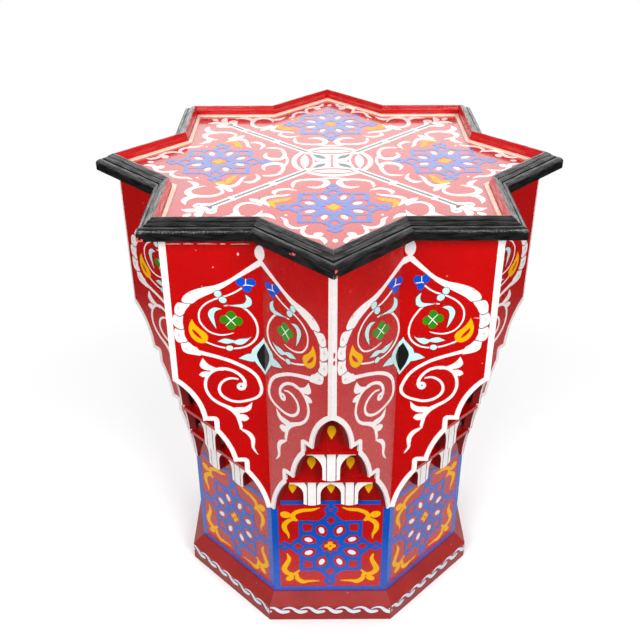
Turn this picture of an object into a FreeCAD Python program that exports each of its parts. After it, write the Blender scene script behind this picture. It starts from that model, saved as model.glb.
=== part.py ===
"""A painted star-topped stool: an octagonal carcass with eight boxed star points on corbelled niches.

Millimetres, +Z up. The origin is on the ground under the centre. One star point looks along -Y.
The star is two crossed squares, so every side of it lies the same distance from the centre.
"""

import FreeCAD, Part
import math
import os

# Counts and angles
POINTS = 8
POINT_ANGLE = 360.0 / POINTS
FRONT_ANGLE = -90.0
HALF_POINT = math.radians(POINT_ANGLE / 2)
ROOT2 = math.sqrt(2.0)

# Carcass and top
BODY_FLAT = 156.0
CARCASS_THICKNESS = 10.0
CARCASS_HEIGHT = 485.0
TOP_THICKNESS = 12.0

# Plinth rails
PLINTH_HEIGHT = 34.0
PLINTH_FACE_HEIGHT = 22.0
PLINTH_PROJECTION = 13.5
PLINTH_TOP_LIP = 1.5

# Walls of the star points
WALL_THICKNESS = 9.0
WALL_FOOT = 163.0
WALL_TAIL = 4.7

# Corbelled tiers: each height runs from the tier's own base to the next one
LOWER_TIER_RISE = 55.0
UPPER_TIER_RISE = 54.0
RIDGE_ARCH_RISE = 59.0
SHELF_THICKNESS = 4.0
LOWER_SHELF_PROJECTION = 18.2
UPPER_SHELF_PROJECTION = 38.2
STEP_WIDTH = 11.0
STEP_HEIGHT = 9.5
RIDGE_BOW_SHARE = 0.11
TIER_BOW_SHARE = 0.065
LOWER_NICHE_DEPTH = 6.0
UPPER_NICHE_DEPTH = 8.0
NICHE_BACK_THICKNESS = 6.0
RIDGE_NICHE_HEADROOM = 16.0

# Arcades that hang between the walls of a point
ARCADE_THICKNESS = 8.0
BAY_PITCH = 40.0
COLUMN_WIDTH = 18.0
UPPER_COLUMN_GAP = 7.0
LOWER_COLUMN_GAP = 12.0
COLUMN_FOOT_BOW = 2.2
COLUMN_STRAIGHT = 13.0
ARCH_CROWN = 11.0
FILLET_HALF_WIDTH = 4.4
GROOVE_WIDTH = 0.9
GROOVE_DEPTH = 1.0
SPANDREL_DEPTH = 1.5
SPANDREL_BOW_SHARE = 0.12

# Moulding round the top
RIM_OVERHANG = 16.0
RIM_LAP = 5.5
RIM_SEAT = 2.0
RIM_MITRE_GAP = 0.1
RIM_DROP = 6.5
RIM_RISE = 11.0
RIM_RIDGE_IN = 1.2
RIM_RIDGE_OUT = 2.6
RIM_FILLET_RISE = 1.8
RIM_INNER_FACE = -1.0
RIM_COVE_FOOT = 5.2
RIM_COVE_TOP = 7.6
RIM_COVE_OUT = 0.4
RIM_COVE_SHARE = -0.12
RIM_SLOPE_DROP = 5.0
RIM_SLOPE_STEP = 0.7
RIM_BEAD_RADIUS = 4.8
RIM_QUIRK_WIDTH = 1.3
RIM_QUIRK_DEPTH = 1.5

# Glue blocks behind the ridges, under the top
BLOCK_LEG = 24.0
BLOCK_HEIGHT = 40.0

# One overrun for every cutting tool
OVERRUN = 5.0

# Places that follow from the sizes above
TIP_RADIUS = BODY_FLAT * ROOT2
WALL_LENGTH = (TIP_RADIUS - BODY_FLAT) * ROOT2
INNER_TIP = (BODY_FLAT - WALL_THICKNESS) * ROOT2
TOP_FACE = CARCASS_HEIGHT + TOP_THICKNESS
LOWER_SHELF_TOP = WALL_FOOT + LOWER_TIER_RISE
UPPER_SHELF_TOP = LOWER_SHELF_TOP + UPPER_TIER_RISE
RIDGE_FOOT = UPPER_SHELF_TOP + RIDGE_ARCH_RISE
LOWER_SHELF_EDGE = BODY_FLAT + LOWER_SHELF_PROJECTION
UPPER_SHELF_EDGE = BODY_FLAT + UPPER_SHELF_PROJECTION


def vec(x, y, z=0.0):
    return FreeCAD.Vector(x, y, z)


def prism(points, low, high):
    """A straight prism over a plan outline, between two heights."""
    wire = Part.makePolygon([vec(x, y, low) for x, y in points + points[:1]])
    return Part.Face(wire).extrude(vec(0, 0, high - low))


def turned(shape, index):
    """The shape drawn for a point on +X, turned to point number index; point 1 faces -Y."""
    copy = shape.copy()
    copy.rotate(vec(0, 0), vec(0, 0, 1), FRONT_ANGLE + POINT_ANGLE * (index - 1))
    return copy


def other_side(shape):
    return shape.mirror(vec(0, 0), vec(0, 1, 0))


def arc_middle(start, end, share):
    """Middle of an arc that bows away from its chord, to the left of start, by a share of the chord."""
    run = end[0] - start[0]
    rise = end[1] - start[1]
    return (
        (start[0] + end[0]) / 2 - rise * share,
        (start[1] + end[1]) / 2 + run * share,
    )


def star_outline(flat):
    """Corners of the eight-pointed star whose sides lie at this distance from the centre."""
    corners = []
    for step in range(2 * POINTS):
        angle = math.radians(FRONT_ANGLE) + HALF_POINT * step
        reach = flat / math.cos(HALF_POINT) if step % 2 else flat * ROOT2
        corners.append((reach * math.cos(angle), reach * math.sin(angle)))
    return corners


# Carcass, plinth and top


def carcass_board():
    """One mitred side of the octagonal box, from the ground to the underside of the top."""
    inner = BODY_FLAT - CARCASS_THICKNESS
    slope = math.tan(HALF_POINT)
    plan = [
        (BODY_FLAT, -BODY_FLAT * slope),
        (BODY_FLAT, BODY_FLAT * slope),
        (inner, inner * slope),
        (inner, -inner * slope),
    ]
    return prism(plan, 0, CARCASS_HEIGHT)


def plinth_rail():
    """One mitred skirting rail with a sloping top, planted on a carcass board."""
    front = BODY_FLAT + PLINTH_PROJECTION
    lip = BODY_FLAT + PLINTH_TOP_LIP
    profile = [
        (BODY_FLAT, 0),
        (front, 0),
        (front, PLINTH_FACE_HEIGHT),
        (lip, PLINTH_HEIGHT),
        (BODY_FLAT, PLINTH_HEIGHT),
    ]
    reach = front * math.tan(HALF_POINT) + OVERRUN
    wire = Part.makePolygon([vec(x, -reach, z) for x, z in profile + profile[:1]])
    rail = Part.Face(wire).extrude(vec(0, 2 * reach, 0))
    far = front + OVERRUN
    wedge = [(0, 0), (far, -far * math.tan(HALF_POINT)), (far, far * math.tan(HALF_POINT))]
    return rail.common(prism(wedge, -OVERRUN, PLINTH_HEIGHT + OVERRUN))


def top_board():
    """The star board, rebated along its edge for the foot of the moulding."""
    seat = TOP_FACE - RIM_SEAT
    board = prism(star_outline(BODY_FLAT), CARCASS_HEIGHT, seat)
    field = prism(star_outline(BODY_FLAT - RIM_LAP), seat, TOP_FACE)
    return board.fuse(field).removeSplitter()


# Moulding round the top


def rim_profile():
    """Section of the moulding: first number outward from the wall face, second above the top board."""
    bead_in = RIM_OVERHANG - RIM_BEAD_RADIUS
    quirk_in = bead_in - RIM_QUIRK_WIDTH
    slope_foot = RIM_RISE - RIM_SLOPE_DROP
    slope_middle = (RIM_RIDGE_OUT + quirk_in) / 2
    step_top = RIM_RISE - (RIM_SLOPE_DROP - RIM_SLOPE_STEP) / 2
    quirk_floor = slope_foot - RIM_QUIRK_DEPTH
    bead_top = slope_foot - RIM_SLOPE_STEP
    bead_foot = bead_top - RIM_BEAD_RADIUS
    bead_lean = RIM_BEAD_RADIUS / ROOT2
    cove_foot = (RIM_INNER_FACE, RIM_COVE_FOOT)
    cove_top = (RIM_COVE_OUT, RIM_COVE_TOP)
    return [
        ((-RIM_LAP, -RIM_SEAT), None),
        ((-RIM_LAP, RIM_FILLET_RISE), None),
        ((RIM_INNER_FACE, RIM_FILLET_RISE), None),
        (cove_foot, None),
        (cove_top, arc_middle(cove_foot, cove_top, RIM_COVE_SHARE)),
        ((RIM_RIDGE_IN, RIM_RISE), None),
        ((RIM_RIDGE_OUT, RIM_RISE), None),
        ((slope_middle, step_top), None),
        ((slope_middle, step_top - RIM_SLOPE_STEP), None),
        ((quirk_in, slope_foot), None),
        ((quirk_in, quirk_floor), None),
        ((bead_in, quirk_floor), None),
        ((bead_in, bead_top), None),
        ((RIM_OVERHANG, bead_foot), (bead_in + bead_lean, bead_foot + bead_lean)),
        ((RIM_OVERHANG, -RIM_DROP), None),
        ((0, -RIM_DROP), None),
        ((0, -RIM_SEAT), None),
    ]


def outline_edges(outline, place):
    """Edges through (end, middle) pairs: an arc where a middle is given, otherwise a straight line."""
    edges = []
    start = place(*outline[-1][0])
    for end, middle in outline:
        stop = place(*end)
        if middle is None:
            edges.append(Part.makeLine(start, stop))
        else:
            edges.append(Part.Arc(start, place(*middle), stop).toShape())
        start = stop
    return edges


def rim_strip():
    """The strip on the right flank of a point, mitred at the notch and, with a hairline, at the tip."""
    along = vec(-1, 1) * (1 / ROOT2)
    out = vec(1, 1) * (1 / ROOT2)
    reach = BODY_FLAT + RIM_OVERHANG + OVERRUN

    def place(outward, height):
        base = out * (BODY_FLAT + outward)
        return vec(base.x, base.y, TOP_FACE + height) - along * reach

    wire = Part.Wire(outline_edges(rim_profile(), place))
    strip = Part.Face(wire).extrude(along * (2 * reach))
    slope = math.tan(HALF_POINT)
    far = (BODY_FLAT + RIM_OVERHANG) * ROOT2 + OVERRUN
    wedge = [(RIM_MITRE_GAP / slope, RIM_MITRE_GAP), (far, RIM_MITRE_GAP), (far, far * slope)]
    return strip.common(prism(wedge, CARCASS_HEIGHT - OVERRUN, TOP_FACE + RIM_RISE + OVERRUN))


# Walls of a star point


def reach_along_wall(projection_edge):
    """How far along a wall, from the ridge, a shelf edge at this distance from the centre meets it."""
    return (TIP_RADIUS - projection_edge) * ROOT2


def cusped_edge():
    """The stepped lower edge of a wall: (along from the ridge, height), with arcs as (end, middle)."""
    upper = reach_along_wall(UPPER_SHELF_EDGE)
    lower = reach_along_wall(LOWER_SHELF_EDGE)
    ridge = (0, RIDGE_FOOT)
    first_foot = (upper - STEP_WIDTH, UPPER_SHELF_TOP + STEP_HEIGHT)
    second_foot = (lower - STEP_WIDTH, LOWER_SHELF_TOP + STEP_HEIGHT)
    tail = (WALL_LENGTH - WALL_TAIL, WALL_FOOT)
    upper_start = (upper, UPPER_SHELF_TOP - SHELF_THICKNESS)
    lower_start = (lower, LOWER_SHELF_TOP - SHELF_THICKNESS)
    below = WALL_FOOT - OVERRUN
    return [
        (ridge, None),
        (first_foot, arc_middle(ridge, first_foot, RIDGE_BOW_SHARE)),
        ((upper, first_foot[1]), None),
        (upper_start, None),
        (second_foot, arc_middle(upper_start, second_foot, TIER_BOW_SHARE)),
        ((lower, second_foot[1]), None),
        (lower_start, None),
        (tail, arc_middle(lower_start, tail, TIER_BOW_SHARE)),
        ((tail[0], below), None),
        ((-OVERRUN, below), None),
        ((-OVERRUN, RIDGE_FOOT), None),
    ]


def right_wall():
    """The wall on the right flank: mitred at the ridge, bevelled to sit on the carcass face."""
    plan = [
        (TIP_RADIUS, 0),
        (BODY_FLAT, TIP_RADIUS - BODY_FLAT),
        (BODY_FLAT, INNER_TIP - BODY_FLAT),
        (INNER_TIP, 0),
    ]
    wall = prism(plan, WALL_FOOT, CARCASS_HEIGHT)
    along = vec(-1, 1) * (1 / ROOT2)
    out = vec(1, 1) * (1 / ROOT2)

    def place(reach, height):
        return vec(TIP_RADIUS, 0, height) + along * reach + out * OVERRUN

    wire = Part.Wire(outline_edges(cusped_edge(), place))
    tool = Part.Face(wire).extrude(out * -(WALL_THICKNESS + 2 * OVERRUN))
    return wall.cut(tool)


# Niches and arcades inside a star point


def between_walls(back, front, low, high):
    """A board across the point, its ends bevelled against the inner faces of the two walls."""
    plan = [
        (front, -(INNER_TIP - front)),
        (front, INNER_TIP - front),
        (back, INNER_TIP - back),
        (back, -(INNER_TIP - back)),
    ]
    return prism(plan, low, high)


def shelf(edge, top):
    """A plate whose ears reach the outer face of the walls, where the cusps leave them open."""
    half_edge = TIP_RADIUS - edge
    shoulder = WALL_THICKNESS / ROOT2
    plan = [
        (edge, -half_edge),
        (edge, half_edge),
        (edge - shoulder, half_edge - shoulder),
        (BODY_FLAT, INNER_TIP - BODY_FLAT),
        (BODY_FLAT, -(INNER_TIP - BODY_FLAT)),
        (edge - shoulder, -(half_edge - shoulder)),
    ]
    return prism(plan, top - SHELF_THICKNESS, top)


def niche_boards():
    """Two shelves and the two boards that close the niches behind them, as separate solids."""
    upper_front = UPPER_SHELF_EDGE - UPPER_NICHE_DEPTH
    lower_front = LOWER_SHELF_EDGE - LOWER_NICHE_DEPTH
    return [
        shelf(UPPER_SHELF_EDGE, UPPER_SHELF_TOP),
        shelf(LOWER_SHELF_EDGE, LOWER_SHELF_TOP),
        between_walls(
            upper_front - NICHE_BACK_THICKNESS,
            upper_front,
            UPPER_SHELF_TOP,
            RIDGE_FOOT + RIDGE_NICHE_HEADROOM,
        ),
        between_walls(
            lower_front - NICHE_BACK_THICKNESS,
            lower_front,
            LOWER_SHELF_TOP,
            UPPER_SHELF_TOP - SHELF_THICKNESS,
        ),
    ]


def arch_flank(side, spring, crown, centre):
    """One flank of a pointed arch as (middle, crown point) of an arc that starts upright at side.

    side is the face of the column that it rises from and centre is the middle of the bay.
    """
    run = abs(centre - side)
    rise = crown - spring
    radius = (run * run + rise * rise) / (2 * run)
    sign = 1 if centre > side else -1
    half_swing = math.asin(rise / radius) / 2
    middle = (
        side + sign * radius * (1 - math.cos(half_swing)),
        spring + radius * math.sin(half_swing),
    )
    return middle, (centre, crown)


def arcade(back, base, top, column_gap, columns):
    """A board with pointed arches between hanging columns; columns gives their middles."""
    front = back + ARCADE_THICKNESS
    foot = base + column_gap
    spring = foot + COLUMN_STRAIGHT
    crown = top - ARCH_CROWN
    half_column = COLUMN_WIDTH / 2
    half_bay = BAY_PITCH / 2
    width = INNER_TIP - back + OVERRUN
    outline = [((-width, top), None), ((-width, crown), None), ((columns[0] - half_bay, crown), None)]
    for column in columns:
        left = column - half_column
        right = column + half_column
        left_middle, _ = arch_flank(left, spring, crown, column - half_bay)
        right_middle, right_crown = arch_flank(right, spring, crown, column + half_bay)
        outline.append(((left, spring), left_middle))
        outline.append(((left, foot), None))
        outline.append(((right, foot), (column, foot - COLUMN_FOOT_BOW)))
        outline.append(((right, spring), None))
        outline.append((right_crown, right_middle))
    outline.append(((width, crown), None))
    outline.append(((width, top), None))

    def place(across, height):
        return vec(back, across, height)

    board = Part.Face(Part.Wire(outline_edges(outline, place))).extrude(vec(ARCADE_THICKNESS, 0, 0))
    board = board.common(between_walls(back, front, base - OVERRUN, top))
    for column in columns:
        for side in (-1, 1):
            board = board.cut(column_relief(front, column, side, foot, spring, crown, top))
    return board


def column_relief(front, column, side, foot, spring, crown, top):
    """The groove up one side of a column's fillet, and the sunk spandrel that it runs into."""
    inner = column + side * FILLET_HALF_WIDTH
    outer = inner + side * GROOVE_WIDTH
    low = foot - COLUMN_FOOT_BOW - OVERRUN
    point = (spring + crown) / 2
    sill = (crown + top) / 2
    far = (inner + column + side * BAY_PITCH / 2) / 2
    groove = Part.makeBox(
        GROOVE_DEPTH + OVERRUN,
        GROOVE_WIDTH,
        point - low,
        vec(front - GROOVE_DEPTH, min(inner, outer), low),
    )
    bow = (sill - point) * SPANDREL_BOW_SHARE
    border = ((outer + far) / 2 - side * bow, (point + sill) / 2 + bow)
    outline = [
        ((inner, point), None),
        ((outer, point), None),
        ((far, sill), border),
        ((inner, sill), None),
    ]

    def place(across, height):
        return vec(front - SPANDREL_DEPTH, across, height)

    spandrel = Part.Face(Part.Wire(outline_edges(outline, place)))
    return groove.fuse(spandrel.extrude(vec(SPANDREL_DEPTH + OVERRUN, 0, 0)))


def arcades():
    """The arcade under each shelf: one column hangs from the upper, two from the lower."""
    half_bay = BAY_PITCH / 2
    upper = arcade(
        LOWER_SHELF_EDGE,
        LOWER_SHELF_TOP,
        UPPER_SHELF_TOP - SHELF_THICKNESS,
        UPPER_COLUMN_GAP,
        [0],
    )
    lower = arcade(
        BODY_FLAT,
        WALL_FOOT,
        LOWER_SHELF_TOP - SHELF_THICKNESS,
        LOWER_COLUMN_GAP,
        [-half_bay, half_bay],
    )
    return [upper, lower]


def glue_block():
    """A three-cornered block glued behind the ridge, flush with the top of the walls."""
    back = INNER_TIP - BLOCK_LEG / ROOT2
    plan = [(INNER_TIP, 0), (back, INNER_TIP - back), (back, -(INNER_TIP - back))]
    return prism(plan, CARCASS_HEIGHT - BLOCK_HEIGHT, CARCASS_HEIGHT)


def save(name, solids):
    shape = solids[0] if len(solids) == 1 else Part.makeCompound(solids)
    shape.exportStep(os.path.join("parts", name + ".step"))
    volume = sum(solid.Volume for solid in solids)
    print(name, len(shape.Solids), "solids", round(volume / 1000, 1), "cm3", shape.isValid())


def main():
    os.makedirs("parts", exist_ok=True)
    save("top_board", [top_board()])
    strip = rim_strip()
    wall = right_wall()
    board = carcass_board()
    rail = plinth_rail()
    niches = niche_boards()
    hanging = arcades()
    block = glue_block()
    for index in range(1, POINTS + 1):
        save(f"carcass_board_{index}", [turned(board, index)])
        save(f"plinth_rail_{index}", [turned(rail, index)])
        save(f"point_{index}_wall_right", [turned(wall, index)])
        save(f"point_{index}_wall_left", [turned(other_side(wall), index)])
        save(f"point_{index}_niche_boards", [turned(piece, index) for piece in niches])
        save(f"point_{index}_arcades", [turned(piece, index) for piece in hanging])
        strips = [turned(strip, index), turned(other_side(strip), index)]
        save(f"point_{index}_rim", strips)
    save("glue_blocks", [turned(block, index) for index in range(1, POINTS + 1)])


main()
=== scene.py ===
# %% [markdown]
# # A painted star-topped stool
#
# The real stool is joinery first and painting second. A joiner made an octagonal box, boxed eight star
# points round it on corbelled niches, and laid a star-shaped top in a moulding. A painter then covered it
# with red lacquer and drew on that by hand: white scrolls, blue rosettes, yellow leaves.
#
# The joinery arrives as a finished frame, so nothing here moves or resizes it. What this file adds is the
# painter's work: finishes for every board, and each painted motif as a thin film lying on its board.

# %% Load the joinery
import math

import bmesh
import bpy
from mathutils import Matrix, Vector, noise
from mathutils.geometry import delaunay_2d_cdt


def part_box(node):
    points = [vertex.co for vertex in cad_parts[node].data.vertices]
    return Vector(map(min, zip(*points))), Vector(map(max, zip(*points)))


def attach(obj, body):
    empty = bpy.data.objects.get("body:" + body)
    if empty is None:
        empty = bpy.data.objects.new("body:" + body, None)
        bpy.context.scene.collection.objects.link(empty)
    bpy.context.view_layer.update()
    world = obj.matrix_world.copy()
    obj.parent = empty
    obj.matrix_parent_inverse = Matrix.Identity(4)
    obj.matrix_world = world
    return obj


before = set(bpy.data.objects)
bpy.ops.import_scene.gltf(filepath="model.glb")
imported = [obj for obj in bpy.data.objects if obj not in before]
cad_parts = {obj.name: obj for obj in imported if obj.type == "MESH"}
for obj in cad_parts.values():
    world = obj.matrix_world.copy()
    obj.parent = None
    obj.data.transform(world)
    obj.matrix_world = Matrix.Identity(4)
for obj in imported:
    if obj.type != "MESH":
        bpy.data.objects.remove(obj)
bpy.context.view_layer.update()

print("boards loaded:", len(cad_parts))

# %% [markdown]
# ## Where things are
#
# The motifs are drawn in millimetres, because that is how a painter would measure them. The few sizes that
# they need are read off the frame: the star is two crossed squares, so the reach of one tip gives the
# distance of every side, the notches between the tips, and the width of the walls.

# %% Sizes read from the frame
MM = 0.001
POINTS = 8
EIGHTH = math.radians(360 / POINTS)
ROOT2 = math.sqrt(2)
STAR_TIP = -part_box("point_1_wall_right")[0].y / MM
STAR_FLAT = STAR_TIP / ROOT2
STAR_NOTCH = STAR_FLAT / math.cos(EIGHTH / 2)
WALL_LENGTH = (STAR_TIP - STAR_FLAT) * ROOT2
PANEL_HALF = STAR_FLAT * math.tan(EIGHTH / 2)
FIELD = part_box("top_board")[1].z / MM
WALL_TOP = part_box("point_1_rim")[0].z / MM
print("star tip", round(STAR_TIP, 1), "side", round(STAR_FLAT, 1), "wall", round(WALL_LENGTH, 1), "mm")

# %% [markdown]
# ## The camera
#
# The photograph looks down at the stool from a step ladder's height, close enough for the body to narrow
# strongly towards the floor. A perspective camera at that distance gives the same narrowing. It is aimed
# at a point near the front of the top, and tilted by a hair as a hand-held camera is.

# %% The camera
SENSOR = 36.0
LENS = 49.58
AIM = Vector((-11.1, -233.6, 447.0)) * MM
CAMERA_DISTANCE = 743.1 * MM
CAMERA_LIFT = math.radians(31.14)
CAMERA_SWING = math.radians(-0.138)
CAMERA_TILT = math.radians(-0.177)


def put(name, data):
    """A new object in the scene."""
    made = bpy.data.objects.new(name, data)
    bpy.context.scene.collection.objects.link(made)
    return made


def make_camera():
    level = math.cos(CAMERA_LIFT)
    ahead = Vector((-math.sin(CAMERA_SWING) * level, math.cos(CAMERA_SWING) * level, -math.sin(CAMERA_LIFT)))
    data = bpy.data.cameras.new("camera")
    data.lens = LENS
    data.sensor_width = SENSOR
    camera = put("camera", data)
    camera.location = AIM - ahead * CAMERA_DISTANCE
    turn = ahead.to_track_quat("-Z", "Y").to_matrix() @ Matrix.Rotation(CAMERA_TILT, 3, "Z")
    camera.rotation_euler = turn.to_euler()
    bpy.context.scene.camera = camera
    return camera


camera = make_camera()
print("camera at", [round(v / MM) for v in camera.location], "mm")

# %% [markdown]
# ## A kit for materials
#
# A material is a small net of nodes: places and noises go in, and a colour, a roughness and a varnish come
# out. Each function here adds a node or two, so that a paint further down reads like a recipe.

# %% Short ways to build a node tree
def node(tree, kind, values=None, **settings):
    """A node with its settings. values gives its inputs, by name or number, a constant or a link."""
    made = tree.nodes.new(kind)
    for name, value in settings.items():
        setattr(made, name, value)
    feed(tree, made, values or {})
    return made


def feed(tree, made, values):
    for key, value in values.items():
        if isinstance(value, bpy.types.NodeSocket):
            tree.links.new(value, made.inputs[key])
        else:
            made.inputs[key].default_value = value


def ramp_value(tree, value, low, high, to_low=0.0, to_high=1.0):
    values = {"Value": value, "From Min": low, "From Max": high, "To Min": to_low, "To Max": to_high}
    return node(tree, "ShaderNodeMapRange", values).outputs["Result"]


def mix_colour(tree, factor, first, second):
    return node(tree, "ShaderNodeMix", {0: factor, 6: first, 7: second}, data_type="RGBA").outputs[2]


def mix_shaders(tree, factor, first, second):
    values = {0: factor, 1: first.outputs[0], 2: second.outputs[0]}
    return node(tree, "ShaderNodeMixShader", values).outputs[0]


def maths(tree, operation, *values):
    return node(tree, "ShaderNodeMath", dict(enumerate(values)), operation=operation).outputs[0]


def axes_of(tree, where):
    return node(tree, "ShaderNodeSeparateXYZ", {0: where}).outputs


def new_material(name, shine=0.5, rough=0.5):
    """A material, its node tree, its shader, and the socket that says where on the stool a place is."""
    material = bpy.data.materials.new(name)
    material.use_nodes = True
    tree = material.node_tree
    shader = tree.nodes["Principled BSDF"]
    feed(tree, shader, {"Specular IOR Level": shine, "Roughness": rough})
    return material, tree, shader, node(tree, "ShaderNodeTexCoord").outputs["Object"]


# %% [markdown]
# ## Floor and light
#
# The stool stands on white paper in a white room, and the picture is taken from the dark end of it. That
# is what gives the lacquer its two faces: the top mirrors the white wall behind and looks milky, while the
# front mirrors a dark floor and stays deep red. So the paper is white where the camera looks at it, fades
# to plain white far out, and keeps the stool's shadow near the foot. To the stool itself it is a grey
# floor that gets darker in front and farther out. That is why the slanting walls are deep red under the
# moulding and milky near the foot. The world does the same for the room: dim in front and overhead, and
# white behind.

# %% Paper floor
FLOOR_HALF = 9000.0
PAPER = (0.905, 0.915, 0.915, 1.0)
ROOM_GREY = (0.46, 0.44, 0.44, 1.0)
ROOM_DARK = (0.03, 0.028, 0.028, 1.0)
DARK_FROM = -275.0
GREY_FROM = -208.0
ROOM_NEAR = 420.0
ROOM_FAR = 860.0
SHADOW_REACH = 290.0
WHITE_REACH = 640.0


def paper_material():
    material, tree, shader, where = new_material("paper", shine=0.0, rough=1.0)
    seen = node(tree, "ShaderNodeLightPath").outputs["Is Camera Ray"]
    far = node(tree, "ShaderNodeVectorMath", {0: where}, operation="LENGTH").outputs["Value"]
    behind = ramp_value(tree, axes_of(tree, where)["Y"], DARK_FROM * MM, GREY_FROM * MM)
    near = ramp_value(tree, far, ROOM_NEAR * MM, ROOM_FAR * MM, 1.0, 0.0)
    room = mix_colour(tree, maths(tree, "MULTIPLY", behind, near), ROOM_DARK, ROOM_GREY)
    feed(tree, shader, {"Base Color": mix_colour(tree, seen, room, PAPER)})
    fade = maths(tree, "MULTIPLY", ramp_value(tree, far, SHADOW_REACH * MM, WHITE_REACH * MM), seen)
    mixed = mix_shaders(tree, fade, shader, node(tree, "ShaderNodeEmission"))
    feed(tree, tree.nodes["Material Output"], {"Surface": mixed})
    return material


def make_floor():
    corners = [(x * FLOOR_HALF * MM, y * FLOOR_HALF * MM, 0) for x, y in ((-1, -1), (1, -1), (1, 1), (-1, 1))]
    mesh = bpy.data.meshes.new("paper_floor")
    mesh.from_pydata(corners, [], [(0, 1, 2, 3)])
    mesh.materials.append(paper_material())
    floor = put("paper_floor", mesh)


make_floor()
bpy.context.scene.view_settings.view_transform = "Standard"
print("floor:", 2 * FLOOR_HALF * MM, "m square")

# %% World and lamps
SKY_FRONT = 0.08
SKY_ABOVE = 0.35
SKY_BACK = 1.6
SKY_FRONT_AT = -0.75
SKY_BACK_AT = 0.55
SKY_COLOUR = (1.0, 1.0, 1.0, 1.0)
LAMPS = (("left_lamp", (-900, -1500, 1250), 29), ("right_lamp", (1000, -1500, 1250), 32))
LAMP_AIM = Vector((0, 0, 260))
LAMP_WIDTH = 1100
LAMP_HEIGHT = 1000


def make_world():
    world = bpy.data.worlds.new("white_room")
    bpy.context.scene.world = world
    world.use_nodes = True
    tree = world.node_tree
    tree.nodes.clear()
    backwards = axes_of(tree, node(tree, "ShaderNodeTexCoord").outputs["Generated"])["Y"]
    front = ramp_value(tree, backwards, SKY_FRONT_AT, 0.0, SKY_FRONT, SKY_ABOVE)
    back = ramp_value(tree, backwards, 0.0, SKY_BACK_AT, 0.0, SKY_BACK - SKY_ABOVE)
    strength = maths(tree, "ADD", front, back)
    around = node(tree, "ShaderNodeBackground", {"Color": SKY_COLOUR, "Strength": strength})
    white = node(tree, "ShaderNodeBackground", {"Color": SKY_COLOUR})
    seen = node(tree, "ShaderNodeLightPath").outputs
    clear = maths(tree, "MAXIMUM", seen["Is Camera Ray"], seen["Is Transmission Ray"])
    node(tree, "ShaderNodeOutputWorld", {"Surface": mix_shaders(tree, clear, around, white)})


def make_lamp(name, place, power):
    data = bpy.data.lights.new(name, "AREA")
    data.shape = "RECTANGLE"
    data.size = LAMP_WIDTH * MM
    data.size_y = LAMP_HEIGHT * MM
    data.energy = power
    lamp = put(name, data)
    lamp.location = Vector(place) * MM
    toward = LAMP_AIM * MM - lamp.location
    lamp.rotation_euler = toward.to_track_quat("-Z", "Y").to_euler()


make_world()
for name, place, power in LAMPS:
    make_lamp(name, place, power)

# %% [markdown]
# ## Enamel paint
#
# Everything is enamel under varnish: a strong even colour, slightly cloudy, with a gloss that is never
# quite even. One function mixes such a paint. A broad noise clouds the colour and a finer one the gloss.
# Each colour then only needs its own numbers. Yellow lies on top of the varnish, so it shines less.

# %% Noise and colours
def noise_value(tree, coordinates, size, detail=2.0):
    """Noise from 0 to 1 whose features are about size millimetres across."""
    values = {"Scale": 1 / (size * MM), "Detail": detail, "Vector": coordinates}
    return node(tree, "ShaderNodeTexNoise", values).outputs["Fac"]


def rgb(red, green, blue):
    """A colour as it is read on a screen, 0 to 255, turned into Blender's linear light."""
    line = [c / 255 for c in (red, green, blue)]
    return tuple(c / 12.92 if c <= 0.04045 else ((c + 0.055) / 1.055) ** 2.4 for c in line) + (1.0,)


def darker(colour, share):
    return tuple(c * share for c in colour[:3]) + (1.0,)


# %% Chips, and places told by their distance from the middle
CHIP_CORE = 0.6
BACK_EDGE = 0.1
FACE_NEAR = 0.4
FACE_FAR = 0.6


def chipped(tree, where, tint, spacing, radius, colour):
    """Small round chips in a paint. The places are scattered in space, so only some reach a surface."""
    cells = node(tree, "ShaderNodeTexVoronoi", {"Scale": 1 / (spacing * MM), "Vector": where})
    edge = radius / spacing
    chip = ramp_value(tree, cells.outputs["Distance"], CHIP_CORE * edge, edge, 1.0, 0.0)
    return mix_colour(tree, chip, tint, colour)


def crossed_squares(tree, where):
    """A place's distances along x and y, and how far out it lies in the star's square and diamond."""
    axes = axes_of(tree, where)
    x = maths(tree, "ABSOLUTE", axes["X"])
    y = maths(tree, "ABSOLUTE", axes["Y"])
    diamond = maths(tree, "MULTIPLY", maths(tree, "ADD", x, y), 1 / ROOT2)
    return x, y, maths(tree, "MAXIMUM", x, y), diamond


def star_measure(tree, where):
    """How far a place lies out in the star's measure, and how far it lies along its side."""
    x, y, square, diamond = crossed_squares(tree, where)
    slant = maths(tree, "MULTIPLY", maths(tree, "SUBTRACT", x, y), 1 / ROOT2)
    on_diamond = maths(tree, "LESS_THAN", diamond, square)
    on_square = maths(tree, "SUBTRACT", 1.0, on_diamond)
    along = maths(tree, "ADD", maths(tree, "MULTIPLY", on_diamond, slant),
                  maths(tree, "MULTIPLY", on_square, maths(tree, "MINIMUM", x, y)))
    return maths(tree, "MINIMUM", square, diamond), along


def behind_face(tree, where, depth):
    """1 from some depth behind the star's side inwards, and 0 in front of it."""
    near = STAR_FLAT - depth
    return ramp_value(tree, star_measure(tree, where)[0], (near - BACK_EDGE) * MM, near * MM, 1.0, 0.0)


def face_at(tree, where, tint, distance, colour):
    """Another colour on the upright faces at one distance from the middle."""
    square, diamond = crossed_squares(tree, where)[2:]
    past = maths(tree, "SUBTRACT", maths(tree, "MAXIMUM", square, diamond), distance * MM)
    mask = ramp_value(tree, maths(tree, "ABSOLUTE", past), FACE_NEAR * MM, FACE_FAR * MM, 1.0, 0.0)
    return mix_colour(tree, mask, tint, colour)


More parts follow.
